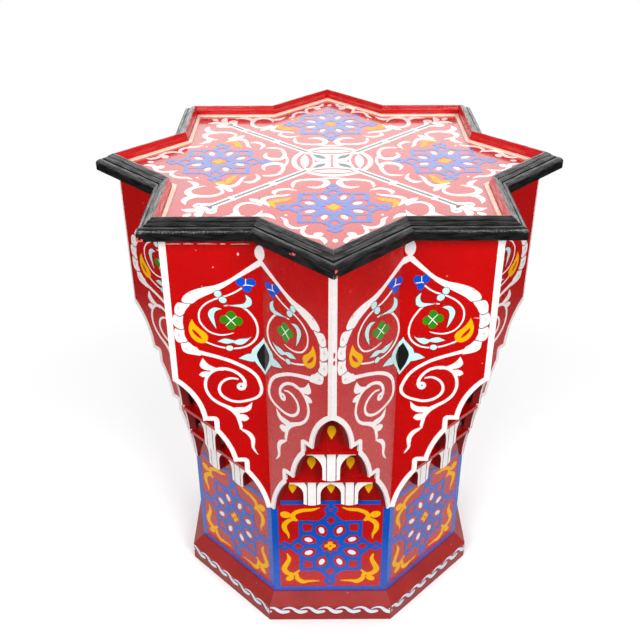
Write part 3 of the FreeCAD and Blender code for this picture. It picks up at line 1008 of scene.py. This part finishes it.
# %% Lines and ticks on the lobes
LINE_END = 0.6
TICK_WIDTHS = (0.6, 0.5)
LOBE_LINES = (
    ((66.8, 418.6), (73.6, 419.3, 0.9), (75.6, 421.4)),
    ((74.8, 406.4), (78.2, 404.9, 0.8), (83.2, 407.7)),
    ((75.4, 390.8), (78.2, 389.8, 0.8), (84.2, 392.5)),
    ((72.4, 376.8), (76.2, 375.7, 0.8), (80.8, 375.4)),
)
LOBE_TICKS = (
    (((66, 431.4), (68, 428.6)), ((67.6, 431.4), (69, 429.4))),
    (((78.6, 415.6), (80.4, 413.6)), ((78.2, 413.4), (79.6, 411.8))),
    (((81, 401.6), (82.6, 399.4)), ((80.4, 399.6), (81.6, 398))),
    (((80.6, 385.8), (82, 383.6)), ((80, 384), (81.2, 382.2))),
    (((74.6, 369.6), (76.6, 368.2)), ((73.4, 368.4), (75, 367))),
)

lobe_lines = []
for start, middle, end in LOBE_LINES:
    lobe_lines += stroke((*start, LINE_END), middle, (*end, LINE_END))
lobe_lines += dab(24.9, 323.8, 1.0)
lobe_ticks = []
for pair in LOBE_TICKS:
    for (start, end), width in zip(pair, TICK_WIDTHS):
        lobe_ticks += stroke((*start, width), (*end, width))
grey_enamel = paint("grey_enamel", rgb(112, 116, 120), cloud=0.8)
edge_enamel = paint("edge_enamel", rgb(74, 26, 26), cloud=0.8)
tick_enamel = paint("tick_enamel", rgb(160, 162, 170), cloud=0.9)
print("lines on the lobes:", len(LOBE_LINES), "and ticks:", 2 * len(LOBE_TICKS))

# %% [markdown]
# ## One copy that drifted
#
# Seven folds carry the motif square on the fold. On the fold to the right of the front tip the painter
# drifted sideways: the bud and the lozenge sit right of the fold, and the flowers follow them less and
# less. The upper part of that copy also sits a little higher. So for that fold both halves are drawn as
# one, pushed, and cut apart at the fold again.

# %% Paint every fold
DRIFTED_FOLD = 0
DRIFT_FROM = 322.0
DRIFT_RISE = 0.13
DRIFT_MOST = 3.7
DRIFT_MORE_FROM = 350.0
DRIFT_MORE = 0.029
DRIFT_REACH = (90.0, 32.0)
LIFT_FROM = 408.0
LIFT_RISE = 0.085
LIFT_MOST = 4.0
FOLD_PARTS = (
    ("scrolls", "white_paint", white_enamel, scroll_marks, 1.0),
    ("rings", "white_paint", white_enamel, ring_marks, 0.8),
    ("leaf_edges", "black_paint", edge_enamel, leaf_edges, 1.05),
    ("leaves", "aqua_paint", aqua_enamel, leaf_aqua, 1.2),
    ("lozenge", "black_paint", black_enamel, lozenge, 1.8),
    ("bluebells", "blue_paint", bell_blue, bluebell, 0.9),
    ("clovers", "green_paint", green_enamel, clover, 0.9),
    ("teardrops", "yellow_paint", yellow_enamel, teardrop, 1.1),
    ("flower_lines", "white_paint", white_enamel, flower_lines, 1.5),
    ("lobe_lines", "black_paint", grey_enamel, lobe_lines, 1.6),
    ("lobe_ticks", "black_paint", tick_enamel, lobe_ticks, 1.5),
)
FOLD_HOLES = {"teardrops": teardrop_hole}


def drifted(shapes):
    """Both halves of some marks, pushed to the right of the fold and lifted at the top."""
    moved = []
    for shape in [*shapes, *mirrored(shapes)]:
        ring = []
        for x, y in shape:
            push = min(max(y - DRIFT_FROM, 0) * DRIFT_RISE, DRIFT_MOST)
            push += max(y - DRIFT_MORE_FROM, 0) * DRIFT_MORE
            lift = min(max(y - LIFT_FROM, 0) * LIFT_RISE, LIFT_MOST)
            ring.append((x + push * max(1 - abs(x) / DRIFT_REACH[x > 0], 0), y + lift))
        moved.append(ring)
    return moved


for part, slot, material, marks, layer in FOLD_PARTS:
    holes = FOLD_HOLES.get(part, ())
    half = cut_out(marks, inside=HALF_SHEET, holes=holes)
    for index in range(POINTS):
        left, right = wall_canvases(index + 0.5)
        sheets = [(right, half), (left, flipped(half))]
        if index == DRIFTED_FOLD:
            sheets = [(place, cut_out(drifted(marks), inside=sheet, holes=drifted(holes)))
                      for place, sheet in ((right, HALF_SHEET), (left, mirrored(HALF_SHEET)))]
        film(f"fold_{index + 1}_{part}", material, sheets, layer, seed=index, calm_at_zero=True)
    print(part, "on every fold:", len(half[1]), "triangles a half")

# %% [markdown]
# ## Marks of use
#
# The lacquer has a few knocks. A broken pale line runs under the moulding on the wall left of the left
# fold, with two chips below it. A scratch crosses the lobes on the right, and the band of the front ridge
# has a nick down to the red. The flecks are bare undercoat, so they are small dabs and strokes too.

# %% Knocks and scratches
RUB_HEIGHTS = (480.4, 480.6, 480.3)
RUB_END = 0.3
RUBS = ((-86, -71, 0.7), (-69, -60, 1.0), (-57, -39, 0.8), (-36, -31, 1.0), (-27, -9, 0.7))

knock_pale = paint("knock_pale", rgb(244, 206, 198), cloud=0.9)
rub_marks = []
for start, end, width in RUBS:
    places = zip((start, (start + end) / 2, end), RUB_HEIGHTS, (RUB_END, width, RUB_END))
    rub_marks += stroke(*places)
rub_marks += dab(-20, 470.5, 1.0, 1.5) + dab(-44, 457, 0.6)
scratch_marks = stroke((70, 401.6, 0.3), (77, 401, 0.8), (83, 400.7, 0.5), (90.8, 401.4, 0.9))
nick_marks = stroke((-90.2, 405, 0.6), (-89.6, 402, 2.6), (-90, 398.6, 1.2)) + dab(-89.8, 393.4, 1.4, 2.6)
rubbed_wall = wall_canvases(POINTS - 0.5)[0]
nicked_wall, scratched_wall = wall_canvases(0.5)
film("wear_under_rim", knock_pale, [(rubbed_wall, cut_out(rub_marks))], layer=0.6)
film("wear_scratch", knock_pale, [(scratched_wall, cut_out(scratch_marks))], layer=1.7)
film("wear_nick", red_lacquer, [(nicked_wall, cut_out(nick_marks))], layer=1.8)
print("knocks:", len(rub_marks) + len(scratch_marks) + len(nick_marks), "marks")

# %% [markdown]
# ## The blue rosette
#
# One rosette fills each base panel, and four more stand on the top. The painter laid a square over a
# diamond, set a finial on each corner of the diamond, and left windows in the blue for the red to show
# through. It is cut out the same way: two plain shapes and four finials are the marks, and the windows are
# holes. White petals and a yellow heart lie in the windows.

# %% Parts of a rosette
PETALS = 8
PETAL_TURN = 360 / PETALS
TIP_WINDOW = (6.0, 1.6, 6.4, 5.2)
FINIAL_DOT = 1.9
FINIAL_DOT_AT = 0.48


def star_shape(outer, inner, tips):
    """A star whose first tip points up."""
    ring = []
    for step in range(2 * tips):
        reach = inner if step % 2 else outer
        angle = math.pi * step / tips
        ring.append((-reach * math.sin(angle), reach * math.cos(angle)))
    return [ring]


def finial(neck, tip):
    """A finial that points up and stands on a corner of the diamond."""
    reach = tip - neck
    side = through([(-6, neck - 4), (-3.6, neck), (-7.2, neck + 0.4 * reach), (-6.8, neck + 0.6 * reach),
                    (-3.4, neck + 0.8 * reach), (-2.4, tip)])
    return [side + [(-x, y) for x, y in reversed(side)]]


def quarters(shapes):
    return [turned for quarter in range(4) for turned in rotated(shapes, 90 * quarter)]


def petal_ring(shape):
    return [turned for k in range(PETALS) for turned in rotated(shape, PETAL_TURN * (k + 0.5))]


def corner_holes(half, neck, tip):
    """The windows of an upper corner: a kite across the square's side, and a dot in the finial."""
    below, wide, above, side = TIP_WINDOW
    kite = flat([(0, half - below), (side, half + wide), (0, half + above), (-side, half + wide)])
    return kite + dab(0, neck + FINIAL_DOT_AT * (tip - neck), FINIAL_DOT)


# %% Rosette
HEART_STAR = (12.0, 7.4)
DIAMOND_REACH = 1.38
CORNER_WINDOW = ((14, 15), (5, 16), (4.4, 4.6), (14.6, 5))


def rosette(wide, tall, side_neck, side_tip, up_neck, up_tip):
    """The blue shape of a rosette, round its middle."""
    marks = block(-wide, -tall, wide, tall)
    across, up = wide * DIAMOND_REACH, tall * DIAMOND_REACH
    marks += flat([(0, -up), (across, 0), (0, up), (-across, 0)])
    window = even_leaf((0, 15.6), (-4.6, 20.8), (-6.4, 27), (-3.8, 33), (0, 34.6))
    holes = star_shape(*HEART_STAR, PETALS) + petal_ring(window)
    for turn in range(4):
        corner = (wide, side_neck, side_tip) if turn % 2 else (tall, up_neck, up_tip)
        marks += rotated(finial(*corner[1:]), 90 * turn)
        holes += rotated(corner_holes(*corner), 90 * turn)
    for side in (-1, 1):
        for height in (-1, 1):
            holes += flat([(side * (wide - x), height * (tall - y)) for x, y in CORNER_WINDOW])
    return cut_out(marks, holes=holes)


def raised(shape, up):
    """A cut-out moved up its canvas."""
    points, triangles, rim = shape
    return [(x, y + up) for x, y in points], triangles, rim


heart_marks = dab(0, 3.6, 2.8, 3.6) + dab(0, -3.4, 2.4, 3.4)
heart_marks += dab(3.4, -0.2, 2.8, 2.6) + dab(-3.6, 0.2, 2.8, 2.6)
heart = cut_out(heart_marks)
heart_dot = cut_out(dab(0, 0, 1.2))
panel_rosette = rosette(wide=35, tall=38.5, side_neck=45.5, side_tip=57.6, up_neck=47, up_tip=62.8)
panel_petals = cut_out(petal_ring(dab(0, 26.2, 3.1, 4.9)))
print("rosette:", len(panel_rosette[1]), "triangles")

# %% [markdown]
# ## Base panels
#
# Each carcass board is a painted panel below its niches: the rosette, a yellow leaf spray in each corner,
# and blue strips down its sides and along its foot. The strips are plain, so they are trimmed to the
# board's own width. The left half of the leaves is drawn and mirrored.

# %% Leaves and strips of a panel
ROSETTE_HEIGHT = 104.5
STRIP_INSIDE = 57.3
STRIP_TOP = 162.5
PANEL_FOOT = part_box("plinth_rail_1")[1].z / MM
FOOT_STRIP_TOP = 40.5

leaf_marks = stroke((-12, 162.4, 0.6), (-20, 159.6, 3.6), (-30, 158.4, 4.8), (-38, 155, 5.2), (-41, 150, 5.4),
                    (-39.4, 145.4, 4.8), (-37, 143.6, 3))
leaf_marks += dab(-49, 152.2, 6.2, 4.5, -25)
leaf_marks += stroke((-39, 146, 3.6), (-45, 143.4, 5.2), (-50, 138, 6), (-50, 130.6, 5.4), (-46.8, 123, 3),
                     (-46.5, 116.4, 0.6))
leaf_marks += stroke((-48.5, 92.4, 1.6), (-46.6, 85, 4.4), (-50, 76, 5.8), (-52.6, 69, 6.4), (-49, 62.4, 5.8),
                     (-42, 60.4, 4.6), (-35.4, 66.2, 2.2))
leaf_marks += dab(-46, 54, 5.6, 3.9, 35)
leaf_marks += stroke((-37.8, 60, 3.8), (-37, 53.2, 5.6), (-31, 48.4, 6), (-24.6, 49.4, 3.6), (-12, 50, 1))
panel_leaves = cut_out(leaf_marks + mirrored(leaf_marks))

strip = block(STRIP_INSIDE, PANEL_FOOT, PANEL_HALF, STRIP_TOP)
foot_strip = block(-PANEL_HALF, PANEL_FOOT, PANEL_HALF, FOOT_STRIP_TOP)
panel_strips = cut_out(strip + mirrored(strip) + foot_strip)
print("panel leaves:", len(panel_leaves[1]), "triangles; foot at", round(PANEL_FOOT, 1), "mm")

# %% Paint every panel
PANEL_SEED = 20

umber = paint("umber_enamel", rgb(110, 66, 6), cloud=0.8)
lifted_heart, lifted_dot, lifted_petals, lifted_rosette = [
    raised(shape, ROSETTE_HEIGHT) for shape in (heart, heart_dot, panel_petals, panel_rosette)]
PANEL_PARTS = (
    ("strips", "blue_paint", rosette_blue, [(STAR_FLAT, panel_strips)], 0.8, False),
    ("rosette", "blue_paint", rosette_blue, [(STAR_FLAT, lifted_rosette)], 1.0, True),
    ("petals", "aqua_paint", pale_aqua, [(STAR_FLAT, lifted_petals)], 1.1, True),
    ("heart", "yellow_paint", yellow_enamel, [(STAR_FLAT, lifted_heart)], 1.1, True),
    ("heart_dot", "black_paint", umber, [(STAR_FLAT, lifted_dot)], 1.4, True),
    ("leaves", "yellow_paint", yellow_enamel, [(STAR_FLAT, panel_leaves)], 1.2, True),
)
paint_sides("panel", PANEL_PARTS, PANEL_SEED)
print("panels painted:", POINTS)

# %% [markdown]
# ## Inside the niches
#
# The shelves are red like the walls, and the boards that close the niches behind them are darkened as
# painted shade. A yellow drop hangs in each small arch, and a blue line runs along the foot of the lowest
# row. The arcades are a darker red, painted shade like the niches, and only their front faces are white.
# They have lines scored beside each column and sunk corners above them, which are painted grey. All these
# places already exist as faces of the arcades, so both films are copied from them: the white one from the
# two fronts, and the grey one from every face that looks outwards and lies a little behind its front.

# %% Planes of the niches
FORWARDS = -0.999
BACK_LEAST = 20.0
SUNK_LEAST = 0.3
SUNK_MOST = 5.0


def facing_planes(name):
    """The faces of a front node that look forwards, listed by their distance from the middle."""
    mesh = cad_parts[name].data
    planes = {}
    for polygon in mesh.polygons:
        if polygon.normal.y < FORWARDS:
            ring = [(mesh.vertices[i].co.x / MM, mesh.vertices[i].co.z / MM) for i in polygon.vertices]
            planes.setdefault(round(-polygon.center.y / MM, 1), []).append(ring)
    return planes


def height_of(rings):
    heights = [y for ring in rings for _, y in ring]
    return max(heights) - min(heights)


def area_of(rings):
    return sum(abs(twice_area(ring)) for ring in rings) / 2


backs = facing_planes("point_1_niche_boards")
upper_back, lower_back = [radius for radius in sorted(backs, reverse=True)
                          if height_of(backs[radius]) > BACK_LEAST]
fronts = facing_planes("point_1_arcades")
largest = sorted(fronts, key=lambda radius: -area_of(fronts[radius]))[:2]
sunk_faces = [(radius, cut_out(rings)) for radius, rings in fronts.items()
              if any(SUNK_LEAST < front - radius < SUNK_MOST for front in largest)]
arcade_faces = [(radius, cut_out(fronts[radius])) for radius in largest]
# Shelves and back boards of the niches: the back boards are darkened as painted shade.
shelf_red = paint("shelf_red", darker(RED, 0.9), cloud=0.85,
                  shade_at=((upper_back, BOARD_SHADE), (lower_back, BOARD_SHADE)))
for point in range(1, POINTS + 1):
    coat_node(f"point_{point}_niche_boards", shelf_red)
print("niche backs at", upper_back, lower_back, "arcade fronts at", largest, "sunk faces:", len(sunk_faces))

# %% Paint the niches
DROP_ROWS = (
    (upper_back, 289.5, (0.0,)),
    (lower_back, 235.5, (-20.0, 20.0)),
    (STAR_FLAT, 191.5, (-40.5, 0.0, 40.5)),
)
LINE_HALF = 54.0
LINE_LOW = 166.4
LINE_HIGH = 172.2
NICHE_SEED = 40

drop = even_leaf((0, -8.6), (-3.2, -2.4), (-4.3, 2.4), (-2.8, 6.8), (0, 8.2))
drops = [(radius, cut_out(in_row(drop, places, height))) for radius, height, places in DROP_ROWS]
niche_line = cut_out(block(-LINE_HALF, LINE_LOW, LINE_HALF, LINE_HIGH))
NICHE_PARTS = (
    ("drops", "yellow_paint", yellow_enamel, drops, 1.0, True),
    ("line", "blue_paint", rosette_blue, [(STAR_FLAT, niche_line)], 0.9, True),
    ("sunk_grey", "black_paint", grey_enamel, sunk_faces, 0.4, False),
    ("arcade_faces", "white_paint", white_enamel, arcade_faces, 0.6, False),
)
paint_sides("niche", NICHE_PARTS, NICHE_SEED)
print("niches painted:", POINTS)

# %% [markdown]
# ## Rope on the plinth
#
# A pale blue rope runs round the plinth. It is one slanting S repeated, each tucked under the next. The
# rail's face gives its length, and the last turns are cut off at the corners, as on the stool.

# %% Rope
ROPE_PITCH = 20.6
ROPE_TURNS = 4
ROPE_TRIM = 0.8
ROPE_SEED = 60
rail_planes = facing_planes("plinth_rail_1")
PLINTH_FACE = max(rail_planes)
PLINTH_HALF = PLINTH_FACE * math.tan(EIGHTH / 2)
FACE_TOP = max(y for ring in rail_planes[PLINTH_FACE] for _, y in ring)

rope_turn = stroke((-14.5, 17.1, 0.7), (-11, 19.2, 1.8), (-6, 20.2, 2.7), (-1.6, 18.6, 3.6), (1.5, 15.4, 4.6),
                   (5.6, 12.9, 5.2), (10, 13.2, 4.6), (13, 14, 3.4))
rope_marks = in_row(rope_turn, [k * ROPE_PITCH for k in range(-ROPE_TURNS, ROPE_TURNS + 1)])
rope_reach = PLINTH_HALF - ROPE_TRIM
rope = cut_out(rope_marks, inside=block(-rope_reach, 0, rope_reach, FACE_TOP))
rope_blue = paint("rope_enamel", rgb(214, 232, 244), cloud=0.92)
paint_sides("plinth", [("rope", "aqua_paint", rope_blue, [(PLINTH_FACE, rope)], 1.0, True)], ROPE_SEED)
print("rope turns on a rail:", 2 * ROPE_TURNS + 1)

# %% [markdown]
# ## The painted star
#
# The top is drawn once for an eighth part and repeated: each half of a quarter mirrors the other, and the
# quarters turn round the middle. Two white bars cross it between the rosettes, with grey dashes along
# them, and run from a round medallion to a trefoil in each tip between two rosettes. The painter did not
# hit the exact middle of the board, so the canvas is a few millimetres off it.

# %% Bars and trefoils
TOP_MIDDLE = (2.5, 4.5)
BAR_WIDTH = 8.8
BAR_FROM = 33.0
BAR_TO = 163.0
DASHES = ((37, 80.5), (88.5, 134), (139.5, 167))
DASH_WIDTH = 3.3
TOP_SEED = 80

top_canvas = canvas(Vector((*TOP_MIDDLE, FIELD)), Vector((1, 0, 0)), Vector((0, 1, 0)))
# An arm is drawn along the y axis towards -y, and turned to the diagonal afterwards
arm = block(-BAR_WIDTH / 2, -BAR_TO, BAR_WIDTH / 2, -BAR_FROM)
half_end = dab(-9.4, -169.6, 5.5) + stroke((-9, -165, 4), (-5, -161.6, 5), (-2, -158, 4))
half_end += leaf([(0, -169.4), (-4.2, -173.6), (-8.8, -179.4), (-14.8, -186.8)],
                 [(-0.6, -178.6), (-2.6, -184.2), (-8.4, -187)])
arm += half_end + mirrored(half_end) + dab(0, -170, 3.4, 4.4) + dab(0.4, -190.6, 3.1, 4.6)
arm += dab(0, -84.6, 5.8, 3.4) + dab(0, -136.8, 5.6, 3.4)
bars = cut_out(quarters(rotated(arm, 45)))
dash_marks = []
for start, end in DASHES:
    dash_marks += block(-DASH_WIDTH / 2, -end, DASH_WIDTH / 2, -start)
dash_marks += dab(-9.4, -169.6, 1.2) + dab(9.4, -169.6, 1.2)
dashes = cut_out(quarters(rotated(dash_marks, 45)))
dark_grey = paint("dark_grey", rgb(30, 38, 40), cloud=0.8)
film("top_bars", white_enamel, [(top_canvas, bars)], seed=TOP_SEED)
film("top_dashes", dark_grey, [(top_canvas, dashes)], layer=1.3, seed=TOP_SEED)
print("bars:", len(bars[1]), "triangles")

# %% Scrollwork of the star
BOLDER = 1.22
HALF_SCROLL = (
    ((-69, -115, 0.6), (-74, -109, 2.4), (-82, -107, 3.0), (-88.4, -112, 3.4), (-91, -120.4, 3.8),
     (-90, -130.2, 4.4), (-87, -137.4, 5.2), (-80.6, -141, 5.6), (-74.2, -139.8, 4.4), (-69.4, -135, 3.6),
     (-66.2, -125.4, 0.6)),
    ((-70, -135.6, 3.4), (-63, -134.8, 5.2), (-58, -138, 4), (-53.2, -144, 0.6)),
    ((-90.4, -130, 3.6), (-95, -138, 5.4), (-102.4, -141, 4.8), (-111, -139, 0.6)),
    ((-80.2, -97.4, 0.6), (-77, -100, 4.8), (-72.4, -103.4, 4.4), (-69, -110, 3), (-67.6, -114.4, 0.6)),
    ((-41.4, -87, 0.8), (-46.6, -90.2, 2.8), (-56.4, -92.4, 3.4), (-64.4, -96, 4.2), (-67.4, -101.6, 4.4),
     (-64.4, -109, 3.6), (-60.4, -115.4, 1)),
    ((-56, -88, 1), (-57.2, -82, 4), (-53.2, -76.8, 3.6), (-45.2, -74, 3.2), (-35.8, -77.4, 0.8)),
    ((-39.4, -70.4, 1.2), (-40, -64.6, 2.8), (-37.4, -56, 3), (-29.4, -51.6, 3.2), (-18, -50.2, 3.4),
     (-8.2, -53, 4.4), (-6.2, -60, 5.6), (-9.6, -67.4, 4.6), (-16.6, -71, 3.4), (-25, -69, 0.8)),
    ((-16, -50.4, 2.6), (-8, -47.6, 2.4), (0, -46.8, 2.2)),
    ((-48.6, -140.2, 1), (-44.4, -146, 3), (-43, -154.6, 3.4), (-38.6, -161, 3.4), (-31, -163, 3.2),
     (-24.4, -158, 0.8)),
    ((-27, -163, 2.6), (-28.6, -170.4, 3.2), (-26, -177.4, 3.4), (-19.4, -181, 3.8), (-12.4, -184, 4.2),
     (-9, -190.4, 3.6), (-9.4, -195.4, 0.8)),
)


def bold(*points):
    """A stroke of the broader brush that painted the top."""
    return stroke(*[(x, y, width * BOLDER) for x, y, width in points])


half_scroll = [piece for points in HALF_SCROLL for piece in bold(*points)]
half_scroll += dab(-14.6, -176.4, 4.4, 4.0, 20) + dab(-44.4, -135.6, 1.4)
scrollwork = cut_out(quarters(half_scroll + mirrored(half_scroll) + dab(0, -189.4, 2.6, 3.4)))
film("top_scrollwork", white_enamel, [(top_canvas, scrollwork)], layer=0.9, seed=TOP_SEED + 1)
print("scrollwork:", len(scrollwork[1]), "triangles")

# %% Rosettes of the star
TOP_ROSETTE_OUT = 118.2

top_rosette = rosette(wide=34, tall=34, side_neck=42, side_tip=54, up_neck=42.4, up_tip=55)
top_petals = cut_out(petal_ring(dab(0, 24.2, 2.9, 5.0)))
top_heart = cut_out(dab(0, 0, 5.4, 5.0) + heart_marks)
half_leaf = bold((-41, -97.2, 2), (-46.6, -101, 5.2), (-56.4, -104, 5.4), (-59, -109, 5), (-55, -118.6, 1.4))
top_leaves = cut_out(quarters(half_leaf + mirrored(half_leaf)))


def on_quarters(shape):
    """Four copies of a cut-out as one, a rosette's distance from the middle."""
    points, triangles, rim = raised(shape, -TOP_ROSETTE_OUT)
    count = len(points)

    def copies(cells):
        return [tuple(i + turn * count for i in cell) for turn in range(4) for cell in cells]

    all_points = [p for ring in quarters([points]) for p in ring]
    return all_points, copies(triangles), copies(rim)


for part, slot, material, shape, layer in (
    ("rosettes", "blue_paint", rosette_blue, on_quarters(top_rosette), 1.0),
    ("petals", "aqua_paint", aqua_enamel, on_quarters(top_petals), 1.1),
    ("hearts", "yellow_paint", yellow_enamel, on_quarters(top_heart), 1.1),
    ("leaves", "yellow_paint", yellow_enamel, top_leaves, 1.2),
):
    film(f"top_{part}", material, [(top_canvas, shape)], layer, TOP_SEED + 2)
print("top rosettes:", 4 * len(top_rosette[1]), "triangles")

# %% [markdown]
# ## The medallion
#
# The bars meet in a broad ring. Inside it four crescents lie against a small square whose sides curve
# inwards, and four wide leaves point from the middle to its corners, each pale with a grey heart.

# %% Medallion
RING_RADIUS = 40.2
RING_WIDTH = 5.2
RING_STEPS = 32

turns = [2 * math.pi * k / RING_STEPS for k in range(RING_STEPS)]
ring_points = [(RING_RADIUS * math.cos(turn), RING_RADIUS * math.sin(turn), RING_WIDTH) for turn in turns]
medallion_marks = []
for start, end in zip(ring_points, ring_points[1:] + ring_points[:1]):
    medallion_marks += stroke(start, end)
quarter_marks = leaf([(-20.6, -28.4), (-11, -31.8), (0, -33), (11, -31.8), (20.6, -28.4)],
                     [(-11, -25.2), (0, -24), (11, -25.2)])
quarter_marks += stroke((-25.6, -21.4, 1.6), (-13, -19.6, 1.8), (0, -19, 1.8), (13, -19.6, 1.8),
                        (25.6, -21.4, 1.6))
medallion = cut_out(medallion_marks + quarters(quarter_marks))
wide_leaf = even_leaf((0, -1.6), (-4.8, -6.2), (-9.2, -11.2), (-9.9, -16), (-7.6, -21.6), (-4.4, -27),
                      (0, -35))
heart_leaf = even_leaf((0, -9), (-3, -13.6), (-3.7, -18.6), (-2.4, -23.6), (0, -28.4))
medallion_leaves = cut_out(quarters(rotated(wide_leaf, 45)))
medallion_hearts = cut_out(quarters(rotated(heart_leaf, 45)))
for part, slot, material, shape, layer in (
    ("medallion", "white_paint", white_enamel, medallion, 1.1),
    ("medallion_leaves", "aqua_paint", pale_aqua, medallion_leaves, 1.25),
    ("medallion_hearts", "black_paint", dark_grey, medallion_hearts, 1.4),
):
    film(f"top_{part}", material, [(top_canvas, shape)], layer, TOP_SEED + 3)
print("medallion:", len(medallion[1]), "triangles")
